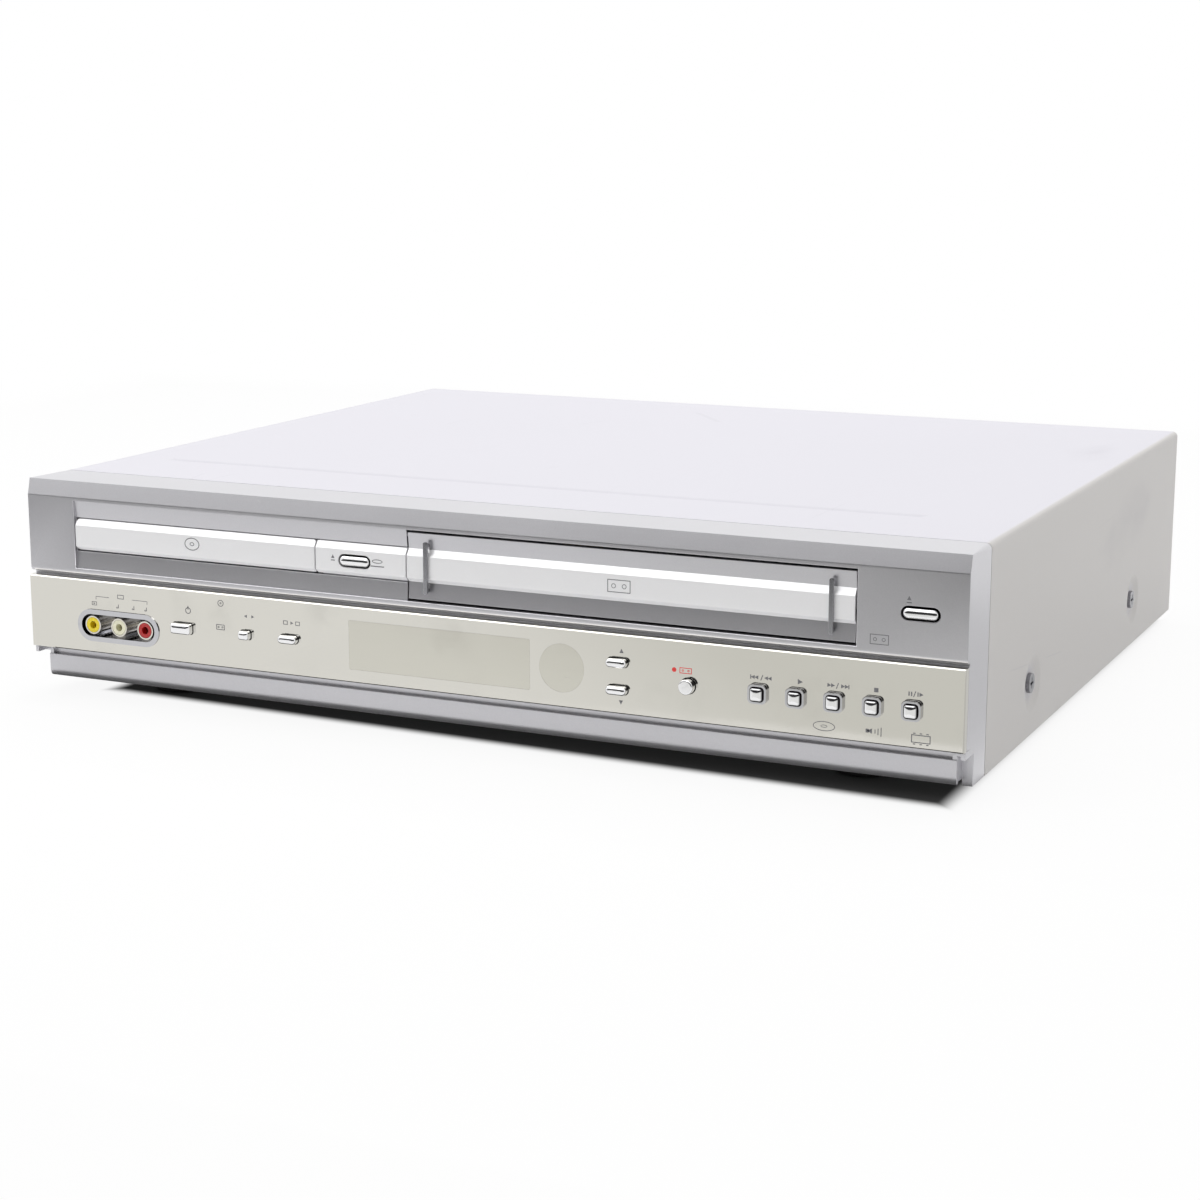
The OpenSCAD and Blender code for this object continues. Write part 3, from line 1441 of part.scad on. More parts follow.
module deck_plate() {
    color([0.68, 0.69, 0.7]) placed() difference() {
        union() {
            block(door_x - deck_half_w, door_x + deck_half_w, deck_y0, deck_y1, deck_z, deck_top_z);
            for (s = [-1, 1])
                rod_z(door_x + s * reel_pitch / 2, reel_y, reel_post_r, deck_top_z - 0.5, deck_top_z + 15.6);
            rod_z(capstan_x, capstan_y, 4.5, deck_z, deck_top_z + 8);
            rod_z(pinch_x, pinch_y, 2.5, deck_top_z - 0.5, deck_top_z + 14);
            rod_z(cam_x, cam_y, 2.5, deck_top_z - 0.5, deck_top_z + 9);
        }
        rod_z(capstan_x, capstan_y, capstan_r + run_gap, deck_z - cut, deck_top_z + 10);
        block(door_x - 26, door_x + 26, deck_y0 + 12, deck_y0 + 34, deck_z - cut, deck_top_z + cut);
        block(door_x - 84, door_x - 56, drum_y - 20, drum_y + 30, deck_z - cut, deck_top_z + cut);
    }
}

// The drum's parts stand on a slant about the middle of its foot
module on_drum() {
    translate([drum_x, drum_y, drum_z]) rotate([0, drum_lean, 0]) children();
}

module lower_drum() {
    color([0.78, 0.78, 0.8]) placed() difference() {
        union() {
            on_drum() cylinder(h = 16, r = drum_r);
            rod_z(drum_x, drum_y, drum_r - 9, deck_top_z, drum_z + 8);
        }
        on_drum() translate([0, 0, 6]) cylinder(h = 20, r = 3 + run_gap);
    }
}

module upper_drum() {
    color([0.85, 0.85, 0.87]) placed() on_drum() {
        difference() {
            translate([0, 0, 16 + free_gap]) cylinder(h = 14, r = drum_r);
            translate([0, 0, 16 + free_gap + 9]) difference() {
                cylinder(h = 9, r = drum_r - 3);
                translate([0, 0, -cut]) cylinder(h = 12, r = 14);
            }
        }
        translate([0, 0, 8]) cylinder(h = 9, r = 3);
    }
}

flywheel_z = deck_z - 8;

module capstan() {
    color([0.6, 0.6, 0.62]) placed() {
        rod_z(capstan_x, capstan_y, capstan_r, flywheel_z - 4.7, deck_top_z + 32);
        rod_z(capstan_x, capstan_y, flywheel_r, flywheel_z, flywheel_z + 5);
    }
}

module deck_motors() {
    color([0.3, 0.3, 0.33]) placed() {
        // Stator of the capstan motor on the chassis, under its flywheel
        difference() {
            rod_z(capstan_x, capstan_y, flywheel_r - 3, floor_z, flywheel_z - 2);
            rod_z(capstan_x, capstan_y, capstan_r + run_gap, flywheel_z - 5, flywheel_z);
        }
        // Loading motor on the deck, with its worm
        rod_y(cam_x - 40, deck_top_z + 13, 12, cam_y - 14, cam_y + 16);
        rod_y(cam_x - 40, deck_top_z + 13, 3, cam_y - 34, cam_y - 13.9);
        block(cam_x - 48, cam_x - 32, cam_y - 12, cam_y + 14, deck_top_z, deck_top_z + 6);
    }
}

module pinch_arm() {
    z = deck_top_z + 1;
    color([0.45, 0.45, 0.47]) placed() {
        difference() {
            union() {
                rod_z(pinch_x, pinch_y, 5, z, z + 12);
                hull() {
                    rod_z(pinch_x, pinch_y, 4, z + 8, z + 11, $fn = 32);
                    rod_z(roller_x, roller_y, 4, z + 8, z + 11, $fn = 32);
                }
            }
            rod_z(pinch_x, pinch_y, 2.5 + run_gap, z - cut, z + 20);
        }
        rod_z(roller_x, roller_y, 1.2, z + 10.9, z + 30);
    }
}

module pinch_roller() {
    z = deck_top_z + 12 + free_gap;
    color([0.1, 0.1, 0.1]) placed() difference() {
        rod_z(roller_x, roller_y, pinch_r, z, z + 15);
        rod_z(roller_x, roller_y, 1.2 + run_gap, z - cut, z + 16);
    }
}

module reel(s) {
    x = door_x + s * reel_pitch / 2;
    z = deck_top_z + free_gap;
    color([0.85, 0.85, 0.82]) placed() difference() {
        union() {
            rod_z(x, reel_y, reel_flange_r, z, z + 2.6);
            rod_z(x, reel_y, reel_hub_r - 2, z + 2.5, z + 14);
            // Six splines drive the cassette's hub
            for (a = [0:60:300])
                translate([x, reel_y, z + 2.5]) rotate([0, 0, a])
                    translate([0, -1.2, 0]) cube([reel_hub_r, 2.4, 9.5]);
        }
        rod_z(x, reel_y, reel_post_r + run_gap, z - cut, z + 20);
    }
}

module supply_reel() { reel(-1); }
module takeup_reel() { reel(1); }

module cam_gear() {
    z = deck_top_z + free_gap;
    color([0.88, 0.86, 0.78]) placed() difference() {
        union() {
            translate([cam_x, cam_y, z]) linear_extrude(4) gear_outline(2 * cam_r, 1, 0.2);
            rod_z(cam_x, cam_y, 6, z, z + 8);
        }
        rod_z(cam_x, cam_y, 2.5 + run_gap, z - cut, z + 10);
        // Cam track in the upper face
        translate([cam_x, cam_y, z + 2.4]) difference() {
            cylinder(h = 3, r = cam_r - 5);
            translate([0, 0, -cut]) cylinder(h = 5, r = cam_r - 8.5);
        }
    }
}

module tape_guides() {
    z = deck_top_z;
    color([0.75, 0.75, 0.77]) placed() {
        // Guide posts round the drum
        for (p = [[-58, -12], [-44, -30], [40, -34], [30, -42]])
            rod_z(drum_x + p[0], drum_y + p[1], 2.6, z, z + 31);
        // Erase head and sound head
        block(drum_x - 66, drum_x - 54, drum_y - 36, drum_y - 28, z, z + 26);
        block(capstan_x - 22, capstan_x - 10, capstan_y + 6, capstan_y + 14, z, z + 28);
    }
}

module cassette_carriage() {
    t = carriage_t;
    x0 = door_x - bay_out_w / 2;
    x1 = door_x + bay_out_w / 2;
    y1 = bay_y0 + bay_d;
    color([0.7, 0.71, 0.72]) placed() {
        difference() {
            block(x0, x1, bay_y0, y1, bay_floor_z - t, bay_floor_z + bay_h + t);
            block(x0 + t, x1 - t, bay_y0 - cut, y1 + cut, bay_floor_z, bay_floor_z + bay_h);
            for (s = [-1, 1])
                rod_z(door_x + s * reel_pitch / 2, reel_y, reel_flange_r + 3, bay_floor_z - 2 * t,
                    bay_floor_z + cut);
            block(door_x - 60, door_x + 60, bay_y0 + 20, y1 - 30, bay_floor_z + bay_h - cut,
                bay_floor_z + bay_h + 2 * t);
        }
        for (y = pin_ys) {
            rod_x(y, pin_z, guide_pin_r, x1 - t / 2, x1 + guide_gap + t + 1);
            rod_x(y, pin_z, guide_pin_r, x0 - guide_gap - t - 1, x0 + t / 2);
        }
    }
}

module carriage_guides() {
    t = carriage_t;
    z1 = bay_floor_z + bay_h + 3;
    r = guide_pin_r + run_gap;
    color([0.66, 0.67, 0.68]) placed() for (s = [-1, 1]) translate([door_x, 0, 0]) scale([s, 1, 1])
        difference() {
            union() {
                block(guide_x, guide_x + t, bay_y0 + 6, bay_y0 + bay_d - 4, deck_top_z, z1);
                block(guide_x, guide_x + 5, bay_y0 + 6, bay_y0 + bay_d - 4, deck_top_z, deck_top_z + t);
            }
            for (y = pin_ys) {
                block(guide_x - cut, guide_x + t + cut, y - r, y + r, pin_z - carriage_travel, pin_z);
                rod_x(y, pin_z, r, guide_x - cut, guide_x + t + cut);
                rod_x(y, pin_z - carriage_travel, r, guide_x - cut, guide_x + t + cut);
            }
        }
}

front_bezel();
control_panel();
panel_windows();
jack_recess();
jack_sleeves();
yellow_jack_inserts();
white_jack_inserts();
red_jack_inserts();
cassette_door();
door_bars();
button_block();
tray_front();
disc_tray();
top_cover();
chassis_base();
rear_panel();
feet();
cover_screws();
rear_screws();
button_rings();
open_close_button();
eject_button();
power_button();
source_button();
copy_button();
channel_up_button();
channel_down_button();
record_button();
rewind_button();
play_button();
forward_button();
stop_button();
pause_button();
front_board();
front_board_parts();
display_tube();
deck_plate();
lower_drum();
upper_drum();
capstan();
deck_motors();
pinch_arm();
pinch_roller();
supply_reel();
takeup_reel();
cam_gear();
tape_guides();
cassette_carriage();
carriage_guides();
loader_frame();
tray_drive_gear();
traverse_frame();
disc_turntable();
laser_sled();
disc_clamp();
main_board();
power_board();
board_parts();
tuner_unit();
cord_gland();
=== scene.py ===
# %% [markdown]
# # A disc and cassette deck, dressed for its portrait
#
# The deck is 430 mm wide: a moulded front in metallic silver paint, a mirror finished
# control panel, chromed keys, and a powder coated sheet steel cover over a zinc plated
# chassis. The solids already hold every shape in its place, so this lesson gives
# them soft edges, real finishes, printed symbols and plain studio light.

# %% Load the frame
import json
import math

import bmesh
import bpy
from mathutils import Matrix, Vector

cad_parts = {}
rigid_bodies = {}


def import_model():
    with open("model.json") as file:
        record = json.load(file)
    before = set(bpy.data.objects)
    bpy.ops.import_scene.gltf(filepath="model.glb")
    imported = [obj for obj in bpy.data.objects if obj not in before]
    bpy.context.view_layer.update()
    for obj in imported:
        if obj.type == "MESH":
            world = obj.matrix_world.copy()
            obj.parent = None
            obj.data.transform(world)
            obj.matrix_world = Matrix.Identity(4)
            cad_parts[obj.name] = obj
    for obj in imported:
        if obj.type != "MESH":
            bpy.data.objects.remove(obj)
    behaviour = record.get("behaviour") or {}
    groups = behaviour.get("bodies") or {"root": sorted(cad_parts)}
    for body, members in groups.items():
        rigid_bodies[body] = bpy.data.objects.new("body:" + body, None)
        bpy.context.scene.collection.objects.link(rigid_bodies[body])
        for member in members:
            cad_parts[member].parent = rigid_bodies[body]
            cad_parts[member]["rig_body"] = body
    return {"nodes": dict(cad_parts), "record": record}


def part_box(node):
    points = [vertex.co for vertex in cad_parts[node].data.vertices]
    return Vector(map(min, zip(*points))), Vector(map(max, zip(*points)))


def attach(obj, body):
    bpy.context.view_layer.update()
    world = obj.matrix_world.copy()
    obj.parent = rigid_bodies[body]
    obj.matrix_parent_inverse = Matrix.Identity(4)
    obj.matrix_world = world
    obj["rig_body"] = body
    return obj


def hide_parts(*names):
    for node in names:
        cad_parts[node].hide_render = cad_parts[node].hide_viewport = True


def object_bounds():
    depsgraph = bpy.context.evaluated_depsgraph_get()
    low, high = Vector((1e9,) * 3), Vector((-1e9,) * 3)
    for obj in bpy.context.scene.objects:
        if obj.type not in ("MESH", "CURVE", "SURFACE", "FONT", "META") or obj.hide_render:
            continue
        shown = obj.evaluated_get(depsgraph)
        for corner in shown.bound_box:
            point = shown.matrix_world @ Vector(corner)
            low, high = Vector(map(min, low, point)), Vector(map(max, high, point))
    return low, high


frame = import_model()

cad_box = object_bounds()
nodes = frame["nodes"]
print("nodes", len(nodes), "box", [[round(v, 4) for v in corner] for corner in cad_box])

# %% [markdown]
# ## The camera
#
# The portrait is taken from the right of the front, a little above the deck, with a long
# lens so that the far corners hardly shrink. A camera looks along its own -Z, so its three
# axes are worked out from two angles and written into its matrix as columns. That is
# steadier than aiming it at an empty with a constraint.

# %% Camera
def columns(x, y, z):
    """A 4 by 4 matrix that turns the world's axes into these three."""
    return Matrix((x, y, z)).transposed().to_4x4()


around, above, tilt = math.radians(24.86), math.radians(11.88), math.radians(0.05)
stand = Vector((0.4548, -1.0274, 0.2633))
back = Vector((math.sin(around) * math.cos(above), -math.cos(around) * math.cos(above), math.sin(above)))
side = Vector((math.cos(around), math.sin(around), 0))
lens = bpy.data.cameras.new("portrait_camera")
lens.lens = 71.8
lens.sensor_width = 36
camera = bpy.data.objects.new("portrait_camera", lens)
camera.matrix_world = (Matrix.Translation(stand) @ columns(side, back.cross(side), back)
                       @ Matrix.Rotation(tilt, 4, "Z"))
bpy.context.scene.collection.objects.link(camera)
bpy.context.scene.camera = camera
print("camera stands", round(camera.location.length, 3), "m from the middle of the foot")

# %% [markdown]
# ## A small kit for shader sums
#
# A finish is mostly sums on noise: how high, where to cut, how much to add. Wiring each
# Math node by hand hides the idea, so a number socket is wrapped in a class that knows
# `+ - *` and the comparisons. Each use adds one Math node to the tree.

# %% Number sockets
class Num:
    """A shader's number socket that adds, multiplies and compares like a plain number."""

    def __init__(self, tree, socket):
        self.tree, self.socket = tree, socket

    def sum(self, operation, *values):
        """Adds a Math node that takes these numbers or sockets."""
        node = self.tree.nodes.new("ShaderNodeMath")
        node.operation = operation
        for slot, value in zip(node.inputs, values):
            if isinstance(value, Num):
                self.tree.links.new(value.socket, slot)
            else:
                slot.default_value = value
        return Num(self.tree, node.outputs[0])

    def __add__(self, other):
        return self.sum("ADD", self, other)

    def __radd__(self, other):
        return self.sum("ADD", other, self)

    def __sub__(self, other):
        return self.sum("SUBTRACT", self, other)

    def __rsub__(self, other):
        return self.sum("SUBTRACT", other, self)

    def __mul__(self, other):
        return self.sum("MULTIPLY", self, other)

    def __rmul__(self, other):
        return self.sum("MULTIPLY", other, self)

    def __gt__(self, other):
        return self.sum("GREATER_THAN", self, other)

    def __lt__(self, other):
        return self.sum("LESS_THAN", self, other)

    def fract(self):
        return self.sum("FRACT", self)

    def larger(self, other):
        return self.sum("MAXIMUM", self, other)

    def unsigned(self):
        return self.sum("ABSOLUTE", self)

    def sine(self):
        return self.sum("SINE", self)


print("number sockets can be summed")

# %% [markdown]
# ## A kit for node trees
#
# Materials and the world are both node trees. Three lines of Python make, set and link one
# node, so one method does all three for any kind of node: it takes the settings first, then
# the values or links of the sockets. Light Path tells apart the rays that see a surface
# from those that bring light, which the white room needs further down.

# %% Node trees
class Tree:
    """A node tree and one method that adds any node to it."""

    def __init__(self, tree):
        self.tree = tree
        tree.nodes.clear()

    def add(self, kind, settings=(), **values):
        """Adds a node of this kind, makes its settings, then sets or links its sockets."""
        node = self.tree.nodes.new("ShaderNode" + kind)
        for name, value in dict(settings).items():
            setattr(node, name, value)
        for name, value in values.items():
            self.join(node.inputs[name.replace("_", " ")], value)
        return node

    def join(self, slot, value):
        """Links a socket to a slot, or sets the slot's value."""
        if isinstance(value, Num):
            value = value.socket
        if isinstance(value, bpy.types.NodeSocket):
            self.tree.links.new(value, slot)
        elif isinstance(value, tuple) and len(value) == 3 and slot.type == "RGBA":
            slot.default_value = (*value, 1)
        else:
            slot.default_value = value

    def number(self, socket):
        return Num(self.tree, socket)

    def seen(self):
        """1 for rays from the camera, from mirrors and through glass; 0 for those that bring light."""
        path = self.add("LightPath")
        camera_ray, mirror_ray, glass_ray = (self.number(path.outputs[f"Is {kind} Ray"])
                                             for kind in ("Camera", "Glossy", "Transmission"))
        return camera_ray + mirror_ray + glass_ray

    def blend(self, share, first, second):
        """Two shaders mixed, with this share of the second."""
        node = self.add("MixShader", Fac=share)
        self.join(node.inputs[1], first.outputs[0])
        self.join(node.inputs[2], second.outputs[0])
        return node.outputs[0]


print("trees can grow nodes")

# %% [markdown]
# ## A kit for finishes
#
# Every finish here is a Principled shader whose colour, roughness and bump vary with the
# place on the piece. All patterns read Object coordinates, in metres: the pieces keep
# their place in their meshes, so a pattern stays put when a tray or a key moves. Numbers
# that are the same all over are set on the shader's own sockets.

# %% Finishes
class Finish(Tree):
    """A material: a Principled shader and the patterns that feed it."""

    def __init__(self, name, **shader):
        self.material = bpy.data.materials.new(name)
        self.material.use_nodes = True
        super().__init__(self.material.node_tree)
        self.place = self.add("TexCoord").outputs["Object"]
        self.shader = self.add("BsdfPrincipled", **shader)
        self.out = self.add("OutputMaterial")
        self.surface(self.shader.outputs[0])

    def surface(self, shader):
        """Shows this shader on the material's surface."""
        self.join(self.out.inputs["Surface"], shader)
        return self.material

    def set(self, **values):
        for name, value in values.items():
            self.join(self.shader.inputs[name.replace("_", " ")], value)
        return self.material

    def along(self, stretch=(1, 1, 1), turn=(0, 0, 0), shift=(0, 0, 0)):
        """The place on the piece, stretched, turned and shifted."""
        return self.add("Mapping", Vector=self.place, Scale=stretch, Rotation=turn,
                        Location=shift).outputs[0]

    def axes(self):
        """The x, y and z of the place, as three numbers."""
        parts = self.add("SeparateXYZ", Vector=self.place)
        return [self.number(s) for s in parts.outputs]

    def noise(self, scale, detail=2.0, **place):
        """Smooth noise from 0 to 1."""
        node = self.add("TexNoise", Vector=self.along(**place), Scale=scale, Detail=detail)
        return self.number(node.outputs["Fac"])

    def cells(self, scale, metric="EUCLIDEAN", output="Color", **place):
        """Voronoi cells: a grey for each cell, or the distance from its middle."""
        node = self.add("TexVoronoi", {"distance": metric}, Vector=self.along(**place), Scale=scale)
        return self.number(node.outputs[output])

    def walls(self, scale, **place):
        """The distance from the nearest wall between Voronoi cells."""
        node = self.add("TexVoronoi", {"feature": "DISTANCE_TO_EDGE"},
                        Vector=self.along(**place), Scale=scale)
        return self.number(node.outputs["Distance"])

    def ramp(self, value, low, high, start=0.0, end=1.0):
        """Eases from start to end while the value goes from low to high."""
        node = self.add("MapRange", {"interpolation_type": "SMOOTHSTEP"}, Value=value,
                        From_Min=low, From_Max=high, To_Min=start, To_Max=end)
        return self.number(node.outputs[0])

    def mix(self, share, a, b):
        """Colour a, mixed with this share of colour b."""
        node = self.add("Mix", {"data_type": "RGBA"})
        for slot, value in zip([node.inputs[0], node.inputs[6], node.inputs[7]], [share, a, b]):
            self.join(slot, value)
        return node.outputs[2]

    def bump(self, height, depth, strength=1.0):
        """A normal that follows a height."""
        return self.add("Bump", Height=height, Distance=depth, Strength=strength).outputs[0]

    def scratches(self, scale, turn, width=0.012, rare=0.62):
        """Sparse thin lines: walls of long thin cells, shown only where a slow noise is high."""
        lines = self.ramp(self.walls(scale, stretch=(1, 0.12, 1), turn=(0, 0, turn)), 0, width, 1, 0)
        return lines * self.ramp(self.noise(scale * 0.8, 1.0), rare, rare + 0.05)


def shade(colour, factor):
    """The colour made lighter or darker by a factor."""
    return tuple(min(1, c * factor) for c in colour)


print("finishes can be mixed")

# %% [markdown]
# ## Light and background
#
# The deck stands on a white table in a white room. A big soft lamp overhead makes the cover
# the brightest face, a second one to the left of the front lifts the fascia, and a grey
# world fills the rest. The second lamp is hidden from reflections, so that no bright square
# shows in the mirror panel. The camera, and metal that mirrors the room, see the world pure
# white without more light falling on the deck.

# %% Room
room = bpy.data.worlds.new("white_room")
room.use_nodes = True
sky = Tree(room.node_tree)
fill_level = 0.38
fill = sky.add("Background", Color=(1.0, 0.99, 0.97), Strength=fill_level)
backdrop = sky.add("Background", Color=(1.0, 1.0, 1.0), Strength=1.0)
sky.join(sky.add("OutputWorld").inputs["Surface"], sky.blend(sky.seen(), fill, backdrop))
bpy.context.scene.world = room
bpy.context.scene.view_settings.view_transform = "Standard"


def facing(place, aim):
    """A matrix that puts a thing in its place, with its +Z along aim."""
    return Matrix.Translation(place) @ aim.normalized().to_track_quat("Z", "Y").to_matrix().to_4x4()


def lamp(name, place, size, power, target=(0, 0, 0.05)):
    """A rectangular soft lamp, aimed at a point."""
    data = bpy.data.lights.new(name, "AREA")
    data.shape = "RECTANGLE"
    data.size, data.size_y = size
    data.energy = power
    obj = bpy.data.objects.new(name, data)
    obj.matrix_world = facing(place, Vector(place) - Vector(target))
    bpy.context.scene.collection.objects.link(obj)
    return obj


lamp("overhead", place=(-0.1, 0.25, 1.7), size=(2.4, 2.0), power=26)
front_lamp = lamp("front_left", place=(-1.5, -1.6, 1.0), size=(1.4, 1.2), power=15)
front_lamp.visible_glossy = False
print("fill", fill_level, "and two lamps")

# %% [markdown]
# ## The white table
#
# A plain white sheet would turn grey where the deck keeps light from it. So the table glows
# white for the camera and for reflections, through a mask that starts just inside the
# deck's footprint: what stays is the dark gap under the deck and a soft edge of shadow. The
# mask leans: it starts later on the right, where more of the shadow shows. Under the deck
# the table's colour is painted dark, a painted shadow where hardly any light gets in
# between the feet.

# %% Table
def flat_sheet(name, width, depth, place):
    """A flat sheet from a grid, put in place in its mesh."""
    bm = bmesh.new()
    bmesh.ops.create_grid(bm, x_segments=1, y_segments=1, size=0.5)
    bmesh.ops.scale(bm, vec=(width, depth, 1), verts=bm.verts)
    bmesh.ops.transform(bm, matrix=place, verts=bm.verts)
    mesh = bpy.data.meshes.new(name)
    bm.to_mesh(mesh)
    bm.free()
    obj = bpy.data.objects.new(name, mesh)
    bpy.context.scene.collection.objects.link(obj)
    return obj


table_size = 12
table = Finish("white_table", Roughness=0.6)
x, y, _ = table.axes()
inset, soft, lean = 0.022, 0.010, 0.045
outside = (x.unsigned() - cad_box[1].x).larger(y.unsigned() - cad_box[1].y) - x * lean
near_glow = table.ramp(outside, -inset, soft - inset, 0.0, 0.92)
far_glow = table.ramp(outside, 0.1, 0.8)
# Painted shadow: the table's colour turns dark grey inside the deck's footprint
outside_painted_shadow = table.ramp(outside, -inset, 1.4 * soft - inset)
table.set(Base_Color=table.mix(outside_painted_shadow, (0.10, 0.10, 0.10), (0.92, 0.92, 0.92)))
glow = table.add("Emission", Color=(1.0, 1.0, 1.0), Strength=1.0)
table.surface(table.blend(near_glow.larger(far_glow) * table.seen(), table.shader, glow))
floor = flat_sheet("floor", table_size, table_size, Matrix.Identity(4))
floor.data.materials.append(table.material)
print("table", table_size, "m wide")

# %% [markdown]
# ## Cards for the reflections
#
# Chrome and mirror finish look like whatever stands around them, so a studio sets up cards
# where the metal mirrors them. These are sheets that only reflections can see. A dark
# one far in front and one on the table give the keys and bars their dark lines, a small one
# in the gap darkens the underside of the front, a pale one keeps the right end of the
# front from going white, and a bright one above makes glints on the rounds. The last one
# turns from white to warm grey along a slant, and shades the right half of the panel.

# %% Cards
def mirrored_card(name, width, depth, place, level):
    """A card with a glow of this level that only reflections see; returns its finish and glow."""
    card = flat_sheet(name, width, depth, place)
    paper = Finish(name)
    paper_glow = paper.add("Emission", Color=(1.0, 1.0, 1.0), Strength=level)
    card.data.materials.append(paper.surface(paper_glow.outputs[0]))
    card.visible_camera = card.visible_diffuse = card.visible_shadow = card.visible_transmission = False
    return paper, paper_glow


upright = Matrix.Rotation(math.radians(-11.6), 4, "Y") @ Matrix.Rotation(math.radians(90), 4, "X")
cards = {  # width, depth, place and glow
    "dark_card": (9, 3.0, Matrix.Translation((0.3, -3.0, -0.07)) @ upright, 0.03),
    "dark_floor_card": (8, 2.42, Matrix.Translation((0.6, -1.74, 0.002)), 0.09),
    "gap_card": (0.44, 0.060, Matrix.Translation((0, cad_box[0].y + 0.022, 0.001)), 0.07),
    "side_card": (0.965, 0.43, Matrix.Translation((0.7175, -0.035, 0.002)), 0.70),
    "bright_card": (3.0, 0.9, facing((-0.9, -1.25, 1.7), Vector((-0.7, -1.0, 1.6))), 3.0),
    "grey_card": (0.70, 0.26, Matrix.Translation((0.20, -0.40, 0.0015)), 1.0),
}
papers = {name: mirrored_card(name, *card) for name, card in cards.items()}
grey_paper, grey_glow = papers["grey_card"]
x, y, _ = grey_paper.axes()
slant = grey_paper.ramp(x - y * 0.9, 0.215, 0.415)
tone = grey_paper.mix(slant, (0.99, 0.99, 0.99), (0.82, 0.82, 0.80))
grey_paper.join(grey_glow.inputs["Color"], tone)
print("floor and", len(cards), "cards are stage, not part of the deck")

# %% [markdown]
# ## Silver paint
#
# The front is moulded plastic under metallic paint: tiny aluminium flakes in lacquer. It
# could be an image texture, but Voronoi cells under half a millimetre wide do it better,
# because each cell gets its own grey and its own height, so the paint sparkles as the light
# moves. Slow noise adds the uneven spray, and a few long thin cell walls are the scratches.

# %% Metallic paint
def flake_paint(name, colour, metal, rough, worn):
    """Metallic paint: flakes, uneven spray and a few scratches."""
    f = Finish(name, Metallic=metal)
    grain, cloud = f.cells(2600), f.noise(14, 3.0)
    tone = (grain - 0.5) * 0.10 + (cloud - 0.5) * 0.10 + 0.5
    marks = f.scratches(110, 0.7, 0.01, 0.68).larger(f.scratches(70, -0.5, 0.007, 0.70)) * worn
    base = f.mix(tone, shade(colour, 0.75), shade(colour, 1.25))
    return f.set(Base_Color=f.mix(marks, base, (0.80, 0.80, 0.80)),
                 Roughness=(cloud - 0.5) * 0.12 + marks * 0.2 + rough,
                 Normal=f.bump(grain * 0.5 + cloud * 2.0, 0.00002, 0.35))


bezel_silver = flake_paint("bezel_silver", (0.62, 0.615, 0.64), metal=0.88, rough=0.32, worn=0.25)
print("paint:", bezel_silver.name)

# %% [markdown]
# ## Door and ridge paint
#
# The tray front and the key block are sprayed a lighter silver. The cassette door carries
# the same light ridge across its middle, while the slanted faces above and below it match
# the fascia. It is one moulding, so the change of paint is a mask on height.

# %% Two tone door
ridge_low, ridge_high = (corner.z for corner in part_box("tray_front"))


def ridge_paint(name, masked):
    """Light silver all over or, masked, only between the heights of the ridge."""
    f = Finish(name, Metallic=0.2)
    grain, cloud = f.cells(2900), f.noise(9, 3.0)
    base = f.mix((grain - 0.5) * 0.12 + (cloud - 0.5) * 0.1 + 0.5, (0.82, 0.82, 0.84), (0.99, 0.99, 1.0))
    if masked:
        z = f.axes()[2]
        slack = 0.00002
        ridge = (z > ridge_low - slack) * (z < ridge_high + slack)
        dark = f.mix((grain - 0.5) * 0.10 + 0.5, (0.465, 0.46, 0.485), (0.775, 0.77, 0.80))
        base = f.mix(ridge, dark, base)
        f.set(Metallic=ridge * -0.68 + 0.88)
    return f.set(Base_Color=base, Roughness=(cloud - 0.5) * 0.1 + 0.30,
                 Normal=f.bump(grain * 0.4 + cloud * 2.0, 0.00002, 0.3))


door_silver = ridge_paint("door_silver", False)
door_two_tone = ridge_paint("door_two_tone", True)
print("ridge from", round(ridge_low, 4), "to", round(ridge_high, 4))

# %% [markdown]
# ## The mirror finished panel
#
# The control panel is a thin polished sheet, glued on: a true mirror that is a touch warm
# and slightly wavy, so straight reflections wobble. Metallic 1 with low roughness is the
# mirror, and a very shallow, slow bump is the waviness. Finger smears only raise the
# roughness. The window films lie on the same sheet and dull it a little.

# %% Mirror sheet and films
def mirror_sheet(name, colour, rough, smear=0.10):
    """Polished sheet with waves, finger smears and a few scratches."""
    f = Finish(name, Metallic=1.0)
    wave = f.noise(26, 1.0)
    ripple = f.noise(130, 2.0)
    fine = f.noise(900, 2.0, stretch=(0.05, 1, 1))
    smudge = f.ramp(f.noise(34, 5.0), 0.52, 0.75)
    lines = f.scratches(60, 0.3, 0.006, 0.66)
    base = f.mix(smudge * 0.5 + lines * 0.5, colour, shade(colour, 0.92))
    return f.set(Base_Color=base, Roughness=fine * 0.04 + smudge * smear + lines * 0.15 + rough,
                 Normal=f.bump(wave * 6.0 + ripple * 0.35, 0.0001, 0.5))


panel_mirror = mirror_sheet("panel_mirror", (0.665, 0.65, 0.60), 0.06)
window_smoke = mirror_sheet("window_smoke", (0.625, 0.61, 0.545), 0.17, 0.03)
print("mirror and films")
